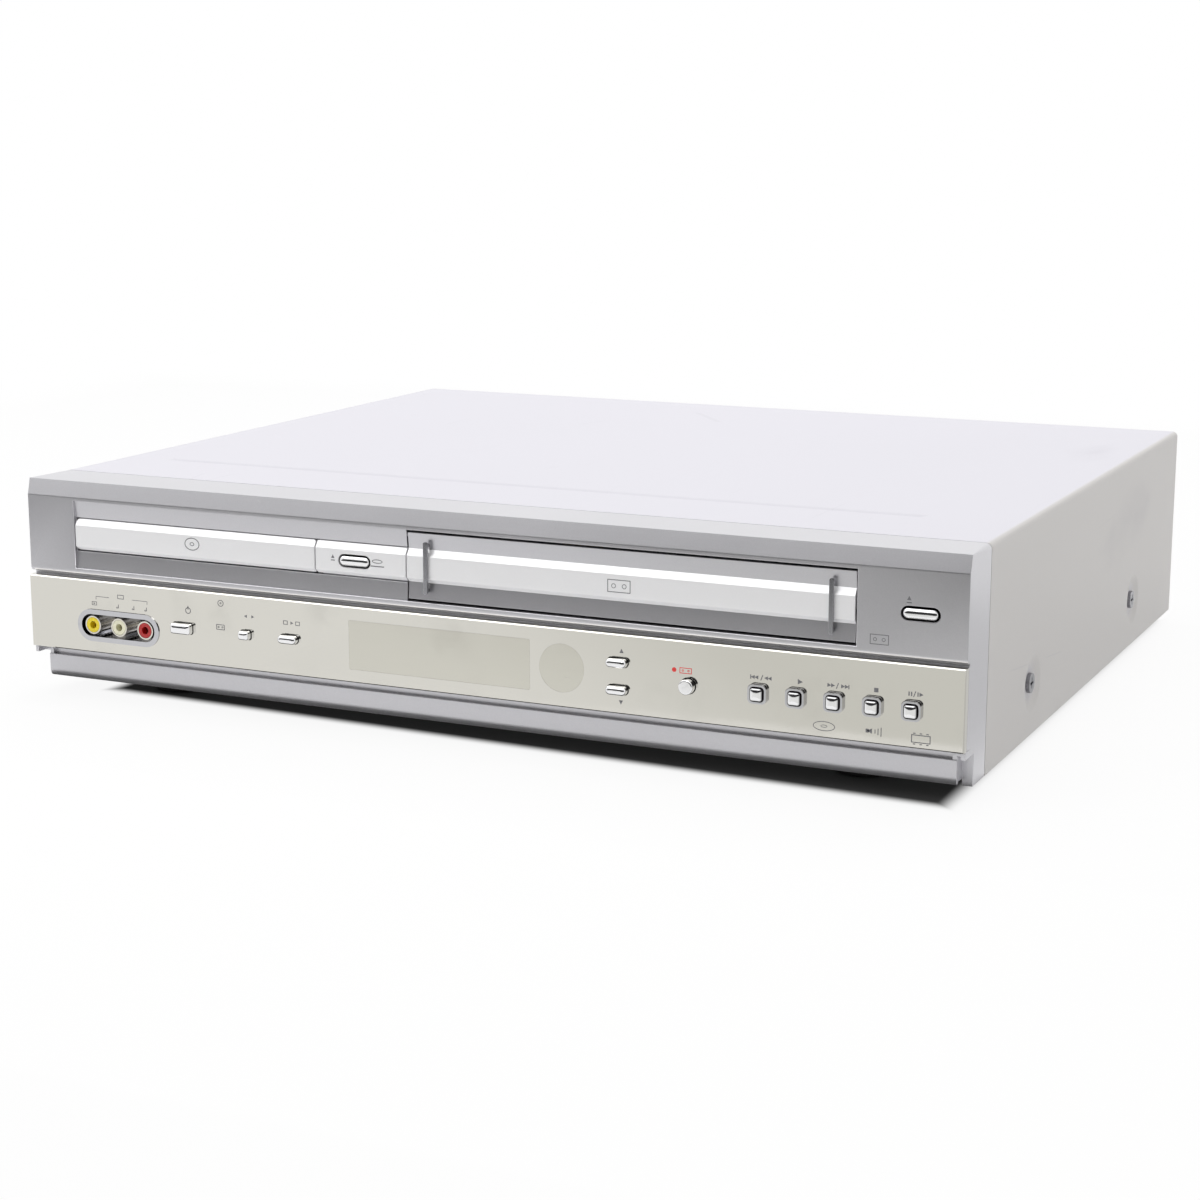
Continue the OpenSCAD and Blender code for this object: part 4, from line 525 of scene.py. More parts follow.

# %% [markdown]
# ## Chrome, nickel and other bright metal
#
# The keys, their rings, the door's bars and the cup round the sockets are chromed plastic:
# smooth, bright, and never quite clean. The socket sleeves are nickel, which is warmer and
# softer. One function makes them all from a colour, a roughness and how worn they are.
# Behind an edge in depth the colour turns near black: on the transport keys and the two long
# keys this is painted shade, for the dark reflections on their sides, and draws a dark line round them.

# %% Plated metal
def plating(name, colour, rough, wear=0.1, grain=0.0, edge=None):
    """Plated metal with dust and brushing, and painted shade, near black, behind an edge in depth."""
    f = Finish(name, Metallic=1.0)
    dust = f.ramp(f.noise(420, 4.0), 0.55, 0.8)
    brushed = f.noise(700, 2.0, stretch=(1, 0.04, 1))
    base = f.mix(dust * wear * 3.0, colour, shade(colour, 0.8))
    # Painted shade: near black behind the edge, standing for the dark reflections on a key's sides
    if edge is not None:
        y = f.axes()[1]
        base = f.mix(f.ramp(y, edge, edge + 0.0004), base, (0.02, 0.02, 0.022))
    return f.set(Base_Color=base, Roughness=dust * wear + brushed * grain + rough,
                 Normal=f.bump(f.noise(160, 1.0) + brushed * grain * 4.0, 0.00003, 0.35))


bright = (0.86, 0.86, 0.87)
button_silver = plating("button_silver", bright, 0.09)
square_chrome = plating("square_chrome", bright, 0.09, edge=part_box("play_button")[0].y + 0.0002)
bar_chrome = plating("bar_chrome", bright, 0.09, edge=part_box("open_close_button")[0].y + 0.0009)
ring_chrome = plating("ring_chrome", (0.54, 0.54, 0.56), 0.12)
bar_satin = plating("bar_satin", (0.36, 0.36, 0.38), 0.22, 0.12)
nickel = plating("nickel", (0.74, 0.71, 0.64), 0.16, 0.12, 0.05)
screw_steel = plating("screw_steel", (0.30, 0.30, 0.32), 0.24, 0.14, 0.10)
motor_steel = plating("motor_steel", (0.42, 0.42, 0.44), 0.30, 0.10, 0.12)
print("plated:", button_silver.name, ring_chrome.name, nickel.name)

# %% [markdown]
# ## Sheet metal
#
# The cover is steel under pale powder coat, which dries into a very fine orange peel and
# picks up rubs and hairline scratches on top. Within three millimetres of each side face
# the paint changes to a warmer one, a painted tint for the warmer light on the sides. The
# chassis is bare zinc plate: its flat crystals, the spangle, are large Voronoi cells that
# differ slightly in grey and gloss.

# %% Powder coat and zinc
def powder_coat(name, colour, worn):
    """Orange peel with specks, rubs and scratches, with a painted warm light tint on the deck's two
    sides.
    """
    f = Finish(name)
    peel = f.noise(1500, 3.0)
    cloud = f.noise(5, 3.0)
    speck = f.ramp(f.noise(2300, 1.0), 0.60, 0.72)
    rub = f.ramp(f.noise(11, 4.0, stretch=(1, 0.45, 1)), 0.62, 0.80) * worn
    lines = f.scratches(16, 0.35, 0.006).larger(f.scratches(27, 1.2, 0.008, 0.66)) * worn
    # Painted light: a warmer copy of the colour for the sides, standing for the light that falls there
    painted_side_tint = (colour[0], colour[1] * 0.99, colour[2] * 0.90)
    tone = (cloud - 0.5) * 0.30 + speck * 0.12 + 0.4
    top, side = (f.mix(tone, shade(paint, 0.93), shade(paint, 1.05)) for paint in (colour, painted_side_tint))
    from_middle = f.axes()[0].unsigned()
    base = f.mix(f.ramp(from_middle, cad_box[1].x - 0.003, cad_box[1].x - 0.001), top, side)
    tint = f.mix(rub * 0.35 + lines * 0.2, base, shade(colour, 0.72))
    return f.set(Base_Color=tint, Roughness=cloud * 0.12 + rub * 0.15 + 0.40,
                 Normal=f.bump(peel, 0.00004, 0.5))


def zinc_sheet(name, colour):
    """Zinc plate with its spangle of flat crystals."""
    f = Finish(name, Metallic=1.0)
    spangle = f.cells(95)
    small = f.noise(600, 2.0, stretch=(1, 0.1, 1))
    base = f.mix(spangle, shade(colour, 0.88), shade(colour, 1.1))
    return f.set(Base_Color=base, Roughness=spangle * 0.14 + small * 0.06 + 0.30,
                 Normal=f.bump(small, 0.00002, 0.25))


cover_paint = powder_coat("cover_paint", (0.735, 0.725, 0.785), 1.0)
rear_steel = powder_coat("rear_steel", (0.42, 0.43, 0.44), 0.5)
zinc_steel = zinc_sheet("zinc_steel", (0.62, 0.63, 0.65))
print("sheet metal:", cover_paint.name, zinc_steel.name)

# %% [markdown]
# ## Moulded plastics and rubber
#
# Moulded parts copy the mould: a fine spark eroded grain on the black ones, a polished
# face on the coloured socket cores and the white gears. Grain is a bump and a little
# roughness, never a colour alone.

# %% Plastics
def moulded(name, colour, rough, grain=1200, depth=0.00004, gloss=0.0):
    """Plastic or rubber with the grain of its mould, and some gloss where it is polished."""
    f = Finish(name, Coat_Weight=gloss, Coat_Roughness=0.15)
    texture, cloud = f.noise(grain, 3.0), f.noise(30, 2.0)
    base = f.mix(cloud * 0.5 + texture * 0.5, shade(colour, 0.8), shade(colour, 1.15))
    return f.set(Base_Color=base, Roughness=texture * 0.14 + rough - 0.07,
                 Normal=f.bump(texture, depth, 0.5))


black_plastic = moulded("black_plastic", (0.028, 0.028, 0.031), 0.50)
rubber_black = moulded("rubber_black", (0.022, 0.022, 0.022), 0.82, 700, 0.00008)
parts_dark = moulded("parts_dark", (0.045, 0.045, 0.05), 0.45)
yellow_plastic = moulded("yellow_plastic", (0.93, 0.70, 0.02), 0.34, 900, 0.00002, 0.3)
white_plastic = moulded("white_plastic", (0.86, 0.84, 0.64), 0.34, 900, 0.00002, 0.3)
red_plastic = moulded("red_plastic", (0.47, 0.012, 0.012), 0.34, 900, 0.00002, 0.3)
gear_acetal = moulded("gear_acetal", (0.80, 0.78, 0.70), 0.36, 500, 0.00003)
print("plastics:", black_plastic.name, "to", gear_acetal.name)

# %% [markdown]
# ## Circuit boards
#
# A board is glass fibre under green lacquer, with copper tracks that show as paler lines
# and tinned pads as small bright dots. Square Voronoi cells split the board into blocks,
# each block runs its tracks one way or the other, and a second set of cells gives the pads.
# The power board is of the cheaper brown kind, with the same pattern.

# %% Boards
def circuit_board(name, lacquer, track):
    """Lacquered board with tracks in two directions and tinned pads."""
    f = Finish(name, Coat_Weight=0.4, Coat_Roughness=0.2)
    x, y, z = f.axes()
    block = f.cells(75, "CHEBYCHEV") > 0.5
    across = ((y + z) * 620).fract() < 0.42
    along = (x * 620).fract() < 0.42
    lines = (across * block + along * (1 - block)) * (f.noise(60, 1.0) > 0.46)
    pads = f.cells(330, output="Distance") < 0.2
    base = f.mix(pads, f.mix(lines, lacquer, track), (0.62, 0.60, 0.52))
    return f.set(Base_Color=base, Metallic=pads * 0.8, Roughness=0.42 - pads * 0.12,
                 Normal=f.bump(lines + pads * 1.5, 0.00004, 0.6))


board_green = circuit_board("board_green", (0.018, 0.115, 0.045), (0.05, 0.22, 0.09))
board_tan = circuit_board("board_tan", (0.42, 0.27, 0.11), (0.52, 0.36, 0.16))
print("boards:", board_green.name, board_tan.name)

# %% [markdown]
# ## The head drum and the display tube
#
# The drum is turned aluminium: the lathe leaves fine rings round its axis. Its pattern is a
# wave over the distance from the axis, centred on the drum by a Mapping node. The display
# tube is dark glass with the grid of its segments just visible.

# %% Drum and tube
drum_low, drum_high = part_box("upper_drum")
drum_mid = (drum_low + drum_high) / 2
turned = Finish("drum_aluminium", Metallic=1.0)
reach = turned.add("VectorMath", {"operation": "LENGTH"},
                   Vector=turned.along(stretch=(1, 1, 0), shift=(-drum_mid.x, -drum_mid.y, 0)))
rings = (turned.number(reach.outputs["Value"]) * 1600).sine()
alloy = turned.mix(turned.noise(40), (0.70, 0.70, 0.72), (0.84, 0.84, 0.86))
drum_aluminium = turned.set(Base_Color=alloy, Roughness=rings * 0.03 + 0.20,
                            Normal=turned.bump(rings, 0.00001, 0.4))
glass = Finish("tube_glass", Coat_Weight=1.0, Coat_Roughness=0.03)
x, _, z = glass.axes()
segments = ((x * 160).fract() < 0.12).larger((z * 190).fract() < 0.12)
tube_glass = glass.set(Base_Color=glass.mix(segments, (0.012, 0.028, 0.030), (0.10, 0.12, 0.12)),
                       Roughness=glass.noise(300) * 0.06 + 0.08)
print("drum axis near", [round(v, 4) for v in drum_mid])

# %% [markdown]
# ## Soft edges for hard solids
#
# Real mouldings and pressings have no knife edges: a small round catches a line of light
# and makes a part look solid. The solids arrive as loose flat triangles, so a copy is
# merged, its flat areas are joined to single faces, and the outer corners are bevelled.
# Inner corners are left alone. Smooth shading with marked sharp edges, and normals weighted
# by face size, keep the big faces flat right up to the round.

# %% Show a piece
def show(name, bm, body, finish, slot, *replaced):
    """Makes a piece of a finished bmesh and lets it ride on its body."""
    mesh = bpy.data.meshes.new(name)
    bm.to_mesh(mesh)
    bm.free()
    obj = bpy.data.objects.new(name, mesh)
    bpy.context.scene.collection.objects.link(obj)
    obj.data.materials.append(finish)
    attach(obj, body)
    if replaced:
        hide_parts(*replaced)
    return obj


print("pieces can ride on their bodies")

# %% Soften a copy
def merged(node):
    """A bmesh of a node's solids, with its triangles joined up."""
    bm = bmesh.new()
    bm.from_mesh(nodes[node].data)
    bmesh.ops.remove_doubles(bm, verts=bm.verts, dist=2e-6)
    bmesh.ops.dissolve_limit(bm, angle_limit=math.radians(0.4), verts=bm.verts, edges=bm.edges)
    return bm


def crisp(bm, angle=38):
    """Smooth faces, with the edges over this angle kept sharp."""
    for face in bm.faces:
        face.smooth = True
    for edge in bm.edges:
        edge.smooth = len(edge.link_faces) == 2 and edge.calc_face_angle(0) < math.radians(angle)


def rounded(bm, width, segments=2, angle=32):
    """Bevels the outward corners over this angle, and long ones from a smaller angle up."""
    long_edge, long_angle = 0.06, 8
    sharp = [e for e in bm.edges if len(e.link_faces) == 2 and e.calc_length() > width * 0.5
             and e.calc_face_angle_signed(0)
             > math.radians(long_angle if e.calc_length() > long_edge else angle)]
    if sharp and width:
        bmesh.ops.bevel(bm, geom=sharp, offset=width, offset_type="OFFSET", affect="EDGES",
                        segments=segments, profile=0.5, material=-1, clamp_overlap=False, loop_slide=True)
    crisp(bm)


def weigh(obj):
    """Normals weighted by face size, added as a modifier."""
    modifier = obj.modifiers.new("weighted_normals", "WEIGHTED_NORMAL")
    modifier.keep_sharp = True
    return obj


print("edges can be softened")

# %% [markdown]
# ## Two shapes of press and mould
#
# A press leaves the line across the cover with sloping ends, so the two ends of the line's
# floor are drawn together. The plinth under the panel rolls back at its lower edge, twice
# as high as it is deep, while a bevel is as wide on one face as on the other. So the copy
# is cut with bisect_plane at heights that follow a quarter of an ellipse, and the corners
# this makes on the plinth's front move back by the depth of the ellipse there.

# %% Pressed line and rolled plinth
def slope_pressed_line(bm):
    """Gives the line pressed into the cover sloping ends, as a press leaves them."""
    depth, slope, slack, side_folds = 0.0008, 0.0030, 0.00005, 0.2
    low = [v for v in bm.verts
           if abs(v.co.z - cad_box[1].z + depth) < slack and abs(v.co.x) < side_folds]
    middle = (min(v.co.x for v in low) + max(v.co.x for v in low)) / 2
    for v in low:
        v.co.x += slope if v.co.x < middle else -slope


def roll_plinth(bm, height=0.0036, depth=0.0017, steps=8):
    """Rolls the plinth's lower front edge back under, along a quarter of an ellipse."""
    plinth_back, plinth_top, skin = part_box("front_bezel")[0].y + 0.010, 0.012, 0.0004
    low = [v.co for v in bm.verts if v.co.y < plinth_back and v.co.z < plinth_top]
    front, base = min(co.y for co in low), min(co.z for co in low)
    for i in range(steps - 1):
        cut = base + height * (1 - math.sin(math.pi / 2 * i / steps))
        bmesh.ops.bisect_plane(bm, geom=bm.verts[:] + bm.edges[:] + bm.faces[:], dist=1e-7,
                               plane_co=(0, 0, cut), plane_no=(0, 0, 1))
    for v in bm.verts:
        fall = 1 - (v.co.z - base) / height
        if 0 < fall <= 1.0001 and v.co.y < front + skin:
            v.co.y += depth * (1 - math.sqrt(max(0, 1 - fall * fall)))
    crisp(bm)


print("the cover's line and the plinth can be shaped")

# %% Soften a node
record_slots = {p["node"]: p["material_slot"] for p in frame["record"]["subparts"]}


def soften(node, finish, width):
    """Replaces a node by its softened copy in this finish."""
    bm = merged(node)
    if node == "top_cover":
        slope_pressed_line(bm)
    rounded(bm, width)
    if node == "front_bezel":
        roll_plinth(bm)
    piece = show(node + "_piece", bm, nodes[node]["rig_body"], finish, record_slots[node], node)
    return weigh(piece)


print("nodes can be softened")

# %% [markdown]
# ## The front, the cover and the tray
#
# Which round fits which part depends on how it is made. Moulded plastic gets about a
# quarter of a millimetre, and punched sheet a little less. The cover, the cup round the
# sockets, the boards and the gears keep the edges of their solids.

# %% Outer pieces
outer = {  # finish, and the round of the edges
    "front_bezel": (bezel_silver, 0.00030),
    "control_panel": (panel_mirror, 0.00006),
    "panel_windows": (window_smoke, 0.00004),
    "jack_recess": (ring_chrome, 0),
    "jack_sleeves": (nickel, 0.00015),
    "yellow_jack_inserts": (yellow_plastic, 0.00012),
    "white_jack_inserts": (white_plastic, 0.00012),
    "red_jack_inserts": (red_plastic, 0.00012),
    "cassette_door": (door_two_tone, 0.00018),
    "door_bars": (bar_satin, 0.00025),
    "button_block": (door_silver, 0.00022),
    "tray_front": (door_silver, 0.00022),
    "disc_tray": (black_plastic, 0.00025),
    "top_cover": (cover_paint, 0),
    "chassis_base": (zinc_steel, 0.00015),
    "rear_panel": (rear_steel, 0.00015),
    "feet": (rubber_black, 0.00060),
    "cover_screws": (screw_steel, 0.00018),
    "rear_screws": (screw_steel, 0.00018),
    "button_rings": (ring_chrome, 0.00022),
    "cord_gland": (black_plastic, 0.00030),
}
for node, (finish, width) in outer.items():
    piece = soften(node, finish, width)
    print(node, len(piece.data.polygons), "faces")

# %% [markdown]
# ## The chromed keys
#
# A key's cap is a block whose front edge is rounded over: its flat face mirrors the white
# table, and its upper round mirrors the dark card and then the lamp. A square with bevelled
# corners is extruded to a block, and its front is then extruded again and again, a little
# smaller and a little further each time, along a quarter of an ellipse. The flange and the
# stem behind the wall are kept from the solid, cut off with bisect_plane and closed. Keys
# of one kind share their corner, their round, their chrome and where the wall stands.

# %% Key caps
front_turn = Matrix.Rotation(math.radians(90), 4, "X")


def sized(width, height, sides):
    """Scales a circle of this many sides to a width and a height; four sides are turned to a square."""
    grow = Matrix.Diagonal((width, height, 1, 1))
    return grow @ Matrix.Rotation(math.radians(45), 4, "Z") if sides == 4 else grow


def key_cap(place, width, height, corner, back, front, reach, rise, steps=7):
    """A closed block from back to front, its front edge rounded over a reach by a rise."""
    bm = bmesh.new()
    bmesh.ops.create_circle(bm, cap_ends=True, segments=4, radius=0.5 ** 0.5,
                            matrix=Matrix.Translation((place.x, back, place.z)) @ front_turn
                            @ sized(width, height, 4))
    bmesh.ops.bevel(bm, geom=bm.verts[:], offset=corner, offset_type="OFFSET", affect="VERTICES",
                    segments=7, profile=0.5, material=-1)
    bm.faces.ensure_lookup_table()
    face, was = bm.faces[0], 0.0
    for i in range(steps + 1):
        angle = i / steps * math.pi / 2
        inset = reach * (1 - math.cos(angle))
        grown = bmesh.ops.extrude_face_region(bm, geom=[face, *face.edges])
        face = [f for f in grown["geom"] if isinstance(f, bmesh.types.BMFace)][0]
        for v in face.verts:
            v.co.x = place.x + (v.co.x - place.x) * (width - 2 * inset) / (width - 2 * was)
            v.co.z = place.z + (v.co.z - place.z) * (height - 2 * inset) / (height - 2 * was)
            v.co.y = front + rise * (1 - math.sin(angle))
        was = inset
    bmesh.ops.recalc_face_normals(bm, faces=bm.faces)
    return bm


def join(bm, part):
    """Adds one bmesh to another and frees it."""
    mesh = bpy.data.meshes.new("part")
    part.to_mesh(mesh)
    part.free()
    bm.from_mesh(mesh)
    bpy.data.meshes.remove(mesh)


print("caps can be made")

# %% Keys
panel_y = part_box("control_panel")[0].y
panel_wall, ridge_wall = 0.0052, 0.0030
key_kinds = {  # corner, share of the half height that is rounded, fall of the round, chrome, wall
    "square": (0.0010, 0.84, 0.0011, button_silver, panel_wall),
    "pill": (0.0018, 0.90, 0.0013, button_silver, panel_wall),
    "dot": (0.0031, 0.22, 0.0006, button_silver, panel_wall),
    "transport": (0.0010, 0.84, 0.00075, square_chrome, panel_wall),
    "bar": (0.0020, 0.92, 0.0014, bar_chrome, ridge_wall),
}
keys = {
    "power_button": "square", "source_button": "square", "copy_button": "pill",
    "channel_up_button": "pill", "channel_down_button": "pill", "record_button": "dot",
    "rewind_button": "transport", "play_button": "transport", "forward_button": "transport",
    "stop_button": "transport", "pause_button": "transport",
    "open_close_button": "bar", "eject_button": "bar",
}
key_middles = {}
for node, kind in keys.items():
    corner, share, rise, chrome, wall = key_kinds[kind]
    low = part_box(node)[0]
    wall_y = low.y + wall
    bm = merged(node)
    cut = bmesh.ops.bisect_plane(bm, geom=bm.verts[:] + bm.edges[:] + bm.faces[:], dist=1e-7,
                                 plane_co=(0, wall_y, 0), plane_no=(0, 1, 0), clear_inner=True)
    bmesh.ops.holes_fill(bm, edges=bm.edges[:], sides=0)
    rim = [v for v in cut["geom_cut"] if isinstance(v, bmesh.types.BMVert)]
    left, right = min(v.co.x for v in rim), max(v.co.x for v in rim)
    base, top = min(v.co.z for v in rim), max(v.co.z for v in rim)
    width, height = right - left, top - base
    middle = Vector(((left + right) / 2, 0, (base + top) / 2))
    cap = key_cap(middle, width, height, corner=min(corner, height * 0.49), back=wall_y, front=low.y,
                  reach=share * height / 2, rise=rise)
    join(bm, cap)
    crisp(bm, 50)
    show(node + "_piece", bm, nodes[node]["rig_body"], chrome, "button_silver", node)
    key_middles[node] = middle
print("keys", len(key_middles))

# %% [markdown]
# ## The parts inside
#
# The decks, motors and boards show when the tray or the door is open, and whenever someone
# takes the model apart. They keep the shapes of their solids. Turned parts are smoothed so
# that their facets go, and everything gets its own finish.

# %% Inner pieces
inner = {
    "front_board": (board_green, 0), "front_board_parts": (parts_dark, 0.00015),
    "display_tube": (tube_glass, 0.0004), "deck_plate": (zinc_steel, 0.00015),
    "lower_drum": (drum_aluminium, 0.0002), "upper_drum": (drum_aluminium, 0.0003),
    "capstan": (motor_steel, 0.0002), "deck_motors": (motor_steel, 0.0003),
    "pinch_arm": (zinc_steel, 0.0002), "pinch_roller": (rubber_black, 0.0004),
    "supply_reel": (gear_acetal, 0.0002), "takeup_reel": (gear_acetal, 0.0002),
    "cam_gear": (gear_acetal, 0), "tape_guides": (screw_steel, 0.0002),
    "cassette_carriage": (zinc_steel, 0.00015), "carriage_guides": (zinc_steel, 0.00015),
    "loader_frame": (black_plastic, 0.0003), "tray_drive_gear": (gear_acetal, 0),
    "traverse_frame": (motor_steel, 0), "disc_turntable": (black_plastic, 0.0003),
    "laser_sled": (parts_dark, 0.0002), "disc_clamp": (black_plastic, 0.0003),
    "main_board": (board_green, 0), "power_board": (board_tan, 0),
    "board_parts": (parts_dark, 0.0003), "tuner_unit": (zinc_steel, 0.0003),
}
for node, (finish, width) in inner.items():
    soften(node, finish, width)
print("inner pieces", len(inner), "of", len(nodes), "nodes in all",
      len(inner) + len(outer) + len(key_middles))

# %% [markdown]
# ## Printed symbols
#
# The keys are named by pictures that everyone may use: triangles for play and wind, a
# square for stop, two bars for pause, a triangle over a bar for eject, a broken ring for
# power. Text objects could spell words, but these few shapes are simpler from circles with
# three, four or many sides. A frame is two such circles with the gap between them bridged,
# and solidify gives every shape the thickness of screen printed ink.

# %% Ink
def ink(name, colour):
    """Screen printed ink, a little patchy."""
    f = Finish(name)
    patch = f.noise(2200, 3.0)
    return f.set(Base_Color=f.mix(patch, colour, tuple(c * 1.5 + 0.03 for c in colour)),
                 Roughness=patch * 0.2 + 0.45, Normal=f.bump(patch, 0.00001, 0.3))


ink_grey = ink("ink_grey", (0.13, 0.13, 0.14))
ink_red = ink("ink_red", (0.62, 0.025, 0.02))
ink_white = ink("ink_white", (0.62, 0.62, 0.60))
print("inks:", ink_grey.name, ink_red.name, ink_white.name)

# %% Ink layers
class Print:
    """A layer of ink on an upright face: shapes are placed in metres by x and z."""

    def __init__(self, y, turn=front_turn):
        self.bm, self.y, self.turn = bmesh.new(), y, turn

    def matrix(self, x, z, width, height, sides, turn):
        return (Matrix.Translation((x, self.y, z)) @ self.turn
                @ Matrix.Rotation(math.radians(turn), 4, "Z") @ sized(width, height, sides))

    def ring(self, x, z, width, height, sides, turn, filled=False):
        """The outline of a shape, filled if wanted; returns its corners."""
        radius = 0.5 ** 0.5 if sides == 4 else 0.5
        made = bmesh.ops.create_circle(self.bm, cap_ends=filled, segments=sides, radius=radius,
                                       matrix=self.matrix(x, z, width, height, sides, turn))
        return made["verts"]

    def solid(self, x, z, width, height, sides=4, turn=0):
        self.ring(x, z, width, height, sides, turn, filled=True)

    def outline(self, x, z, width, height, line, sides=4, turn=0):
        edges = []
        for shrink in (0, 2 * line):
            corners = self.ring(x, z, width - shrink, height - shrink, sides, turn)
            edges += [e for e in self.bm.edges if e.verts[0] in corners]
        bmesh.ops.bridge_loops(self.bm, edges=edges)

    def triangle(self, x, z, size, turn):
        self.solid(x, z, size * 1.1, size * 1.25, 3, turn)

    def finish(self, name, body, material, slot):
        bmesh.ops.solidify(self.bm, geom=self.bm.faces[:], thickness=0.00003)
        bmesh.ops.recalc_face_normals(self.bm, faces=self.bm.faces)
        return show(name, self.bm, body, material, slot)


print("ink layers ready")

# %% [markdown]
# ## Pictures on the control panel
#
# The layout of the prints is given in millimetres from the deck's left side and above the
# panel's lower edge, as one would measure it with a ruler. A class of its own turns them
# into metres and knows the pictures that come back elsewhere: the disc, the cassette and
# the eject sign. Each picture stands over, beside or under what it names.

# %% A ruler for the front
MM = 0.001
up, left_way, down, right_way = 0, 90, 180, 270
left_x, sill_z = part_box("front_bezel")[0].x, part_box("control_panel")[0].z
lift = 0.00002


class Front(Print):
    """A layer on the front: millimetres from the left side and above the panel's lower edge."""

    def matrix(self, x, z, width, height, sides, turn):
        return super().matrix(left_x + x * MM, sill_z + z * MM, width * MM, height * MM, sides, turn)

    def disc(self, x, z, width, height, line=0.3):
        """A ring with a smaller ring in it."""
        self.outline(x, z, width, height, line, 32)
        self.outline(x, z, width * 0.3, height * 0.3, line * 0.8, 20)

    def tape(self, x, z, width, height, line=0.3):
        """A cassette: a frame and two reels."""
        self.outline(x, z, width, height, line)
        for shift in (-0.23, 0.23):
            self.outline(x + shift * width, z, height * 0.38, height * 0.38, line * 0.8, 16)

    def eject(self, x, z, size=1.8):
        self.triangle(x, z + 0.3 * size, size, up)
        self.solid(x, z - 0.5 * size, 1.1 * size, 0.24 * size)


print("the ruler starts", round(left_x, 4), "and", round(sill_z, 4))

# %% Symbols at the left of the control panel
panel = Front(panel_y - lift)

# A bracket with a screen groups the sockets: a play sign for the picture, notes for sound
bracket_z, sign_z = 25.5, 22.3
for x, size, end in ((39.25, 6.9, -3.45), (58.9, 7.8, 3.9)):
    panel.solid(x, bracket_z, size, 0.25)
    panel.solid(x + end, bracket_z - 0.7, 0.25, 1.4)
panel.outline(48.9, 26.3, 3.4, 1.9, 0.3)
panel.outline(34.8, sign_z, 2.6, 1.7, 0.25)
panel.triangle(34.7, sign_z, 1.0, right_way)
for x in (47.6, 55.8, 62.4):
    panel.solid(x, sign_z - 0.3, 0.35, 1.7)
    panel.outline(x - 0.7, sign_z - 0.9, 0.9, 0.8, 0.25, 12)

# Power is a broken ring, the source key has two arrows between a disc and a cassette
power_x, source_x, copy_x = 84.1, 115.2, 136.3
panel.outline(power_x, 23.5, 2.9, 2.9, 0.4, 20)
panel.solid(power_x, 24.7, 0.45, 1.7)
for shift, way in ((-1.6, left_way), (1.6, right_way)):
    panel.triangle(source_x + shift, 23.7, 1.5, way)
panel.disc(100.9, 28.2, 3.0, 2.9)
panel.tape(100.5, 17.7, 4.2, 2.4)

# Copy is an arrow between two frames, and the channels go up and down
for shift in (-3.0, 3.0):
    panel.outline(copy_x + shift, 22.8, 2.2, 1.8, 0.3)
panel.triangle(copy_x, 22.8, 1.5, right_way)
panel.triangle(289.4, 25.6, 1.9, up)
panel.triangle(289.2, 5.1, 1.9, down)
print("so far", len(panel.bm.faces), "faces of ink")

# %% Symbols at the right of the control panel
# Wind, play, stop and pause stand above their keys
rewind_x, play_x, forward_x, stop_x, pause_x = 348.9, 364.35, 379.7, 395.2, 410.5
symbol_z = 21.1
for x, way, end in ((rewind_x, left_way, -4.6), (forward_x, right_way, 4.6)):
    for shift in (-3.5, -2.0, 2.0, 3.5):
        panel.triangle(x + shift, symbol_z, 1.7, way)
    panel.solid(x + end, symbol_z, 0.4, 1.7)
    panel.solid(x, symbol_z, 0.35, 2.4, turn=-20)
panel.triangle(play_x, symbol_z, 2.2, right_way)
panel.solid(stop_x, symbol_z, 1.7, 1.7)
for shift in (-2.4, -1.4):
    panel.solid(pause_x + shift, symbol_z, 0.5, 1.7)
panel.solid(pause_x - 0.2, symbol_z, 0.35, 2.4, turn=-20)
panel.solid(pause_x + 1.1, symbol_z, 0.45, 1.7)
panel.triangle(pause_x + 2.2, symbol_z, 1.7, right_way)

# Under them, what the deck plays: a disc, sound and film
sound_x, sound_z = 393.2, 4.9
film_x, film_z = 413.2, 3.9
panel.disc(374.6, 4.7, 9.0, 3.9)
panel.solid(sound_x - 1.2, sound_z, 1.3, 1.5)
panel.triangle(sound_x, sound_z, 2.2, left_way)
for shift, tall in ((1.9, 1.6), (3.1, 2.6), (4.3, 3.6)):
    panel.solid(sound_x + shift, sound_z, 0.35, tall)
panel.outline(film_x, film_z, 7.6, 3.2, 0.35)
for shift in (-2.6, 0.0, 2.6):
    for rise in (-2.1, 2.1):
        panel.solid(film_x + shift, film_z + rise, 1.0, 0.4)
piece = panel.finish("panel_symbols", "case", ink_grey, "parts_dark")
print("panel symbols", len(piece.data.polygons), "faces")

# %% [markdown]
# ## Pictures elsewhere on the front
#
# The record sign is red, so it is a layer of its own. The prints on the tray front and on
# the cassette door ride on those pieces, and the eject signs sit beside their keys. The
# signs on the tray front and beside its key take their places from those pieces.

# %% Symbols on the block, the fascia, the tray and the door
red = Front(panel_y - lift)
red.solid(312.1, 20.6, 1.9, 1.9, 20)
red.tape(317.0, 20.6, 5.2, 2.4)
red.finish("record_symbol", "case", ink_red, "red_plastic")

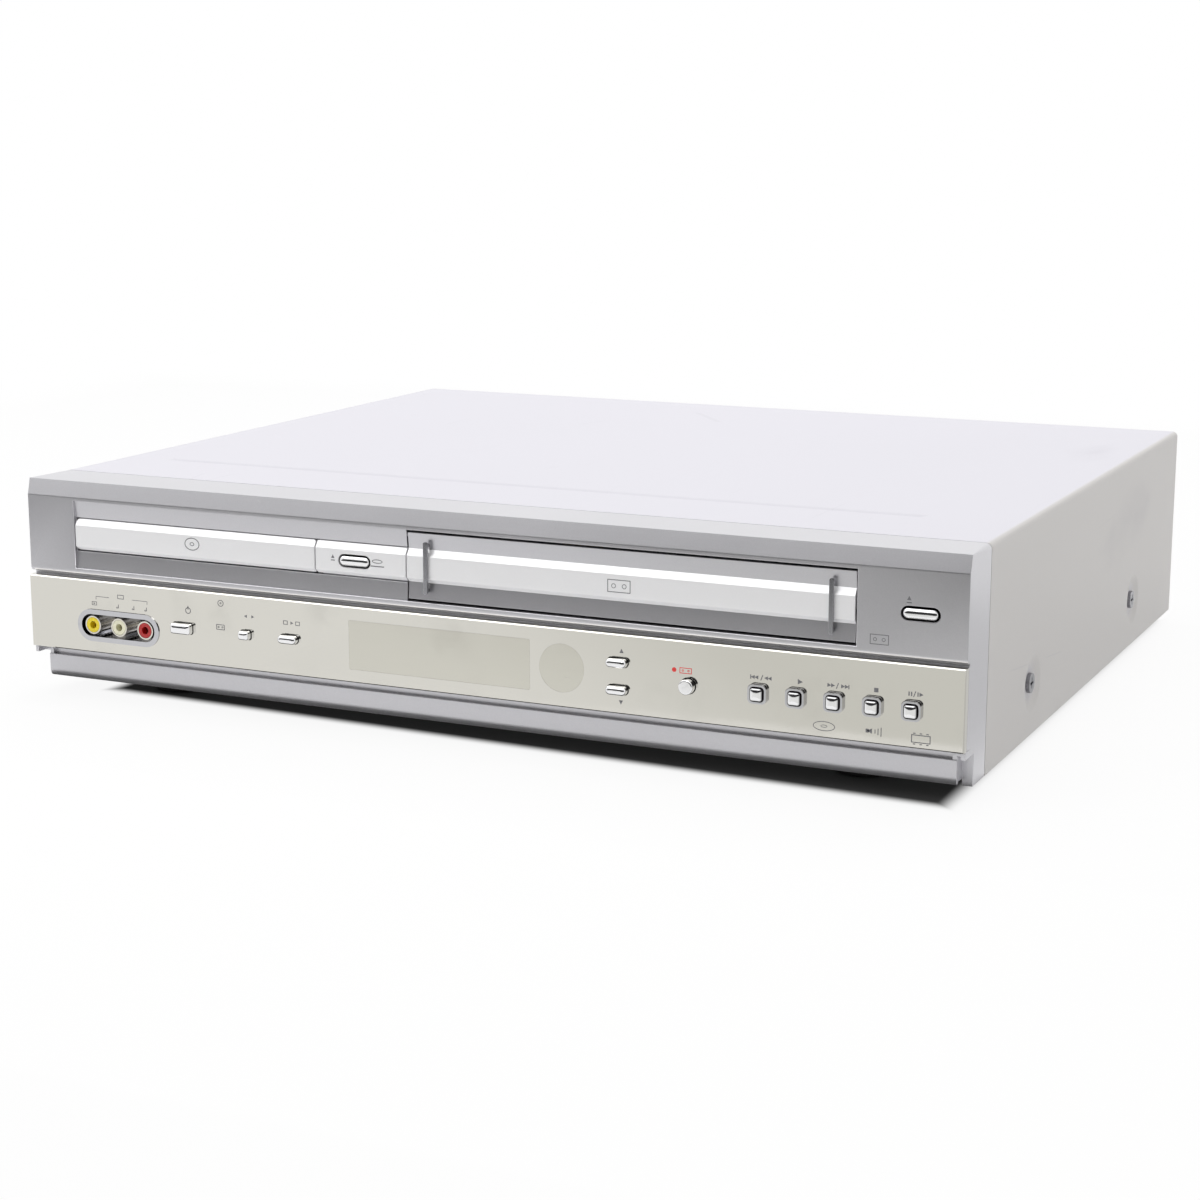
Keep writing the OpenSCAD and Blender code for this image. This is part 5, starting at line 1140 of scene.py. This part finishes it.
ridge_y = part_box("button_block")[0].y
key_x = (key_middles["open_close_button"].x - left_x) / MM
key_z = (key_middles["open_close_button"].z - sill_z) / MM
block = Front(ridge_y - lift)
block.eject(key_x - 10.3, key_z + 0.7, 1.7)
block.solid(key_x + 11.0, key_z - 1.2, 6.4, 0.45)
block.outline(key_x + 11.0, key_z + 0.9, 5.0, 1.7, 0.3, 32)
block.finish("tray_key_symbol", "case", ink_grey, "parts_dark")

fascia_y = panel_y + 0.0015
fascia = Front(fascia_y - lift)
fascia.eject(406.7, 56.6)
fascia.tape(395.4, 40.4, 7.5, 4.0)
fascia.finish("eject_key_symbol", "case", ink_grey, "parts_dark")

low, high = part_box("tray_front")
face_x, face_z = ((low.x + high.x) / 2 - left_x) / MM, ((low.z + high.z) / 2 - sill_z) / MM
tray = Front(low.y - lift)
tray.disc(face_x, face_z + 0.5, 7.6, 5.6, 0.4)
tray.finish("disc_symbol", "tray", ink_grey, "parts_dark")

door = Front(ridge_y - lift)
door.tape(287.7, face_z - 0.5, 10.0, 5.2)
door.finish("cassette_symbol", "flap", ink_grey, "parts_dark")
print("symbols on the tray, the door, the block and the fascia")

# %% [markdown]
# ## Prints on the rear panel
#
# The rear sockets are grouped by thin printed frames, with a triangle that shows whether a
# signal goes in or comes out. The face looks backwards, so the layer is turned about.

# %% Rear prints
back_turn = Matrix.Rotation(math.radians(-90), 4, "X") @ Matrix.Rotation(math.radians(180), 4, "Z")
frame_width, frame_height, line = 46 * MM, 14 * MM, 0.4 * MM
rear_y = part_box("rear_panel")[1].y
rear = Print(rear_y + lift, back_turn)
for group, way in (("in", down), ("out", up)):
    sockets = [m["pos_m"] for m in frame["record"]["mounts"]
               if m["name"].startswith("rear_") and m["name"].endswith("_" + group)]
    x = sum(p[0] for p in sockets) / len(sockets)
    z = sockets[0][2]
    rear.outline(x, z, frame_width, frame_height, line)
    rear.triangle(x - 20.6 * MM, z, 2.6 * MM, way)
for mount in frame["record"]["mounts"]:
    if mount["name"].startswith("aerial"):
        x, z = mount["pos_m"][0], mount["pos_m"][2]
        rear.triangle(x, z + 9 * MM, 2.4 * MM, down if mount["name"].endswith("_in") else up)
        rear.solid(x, z + 11.6 * MM, 5 * MM, line)
rear.finish("rear_symbols", "case", ink_white, "white_plastic")
print("rear panel face at", round(rear_y, 4))
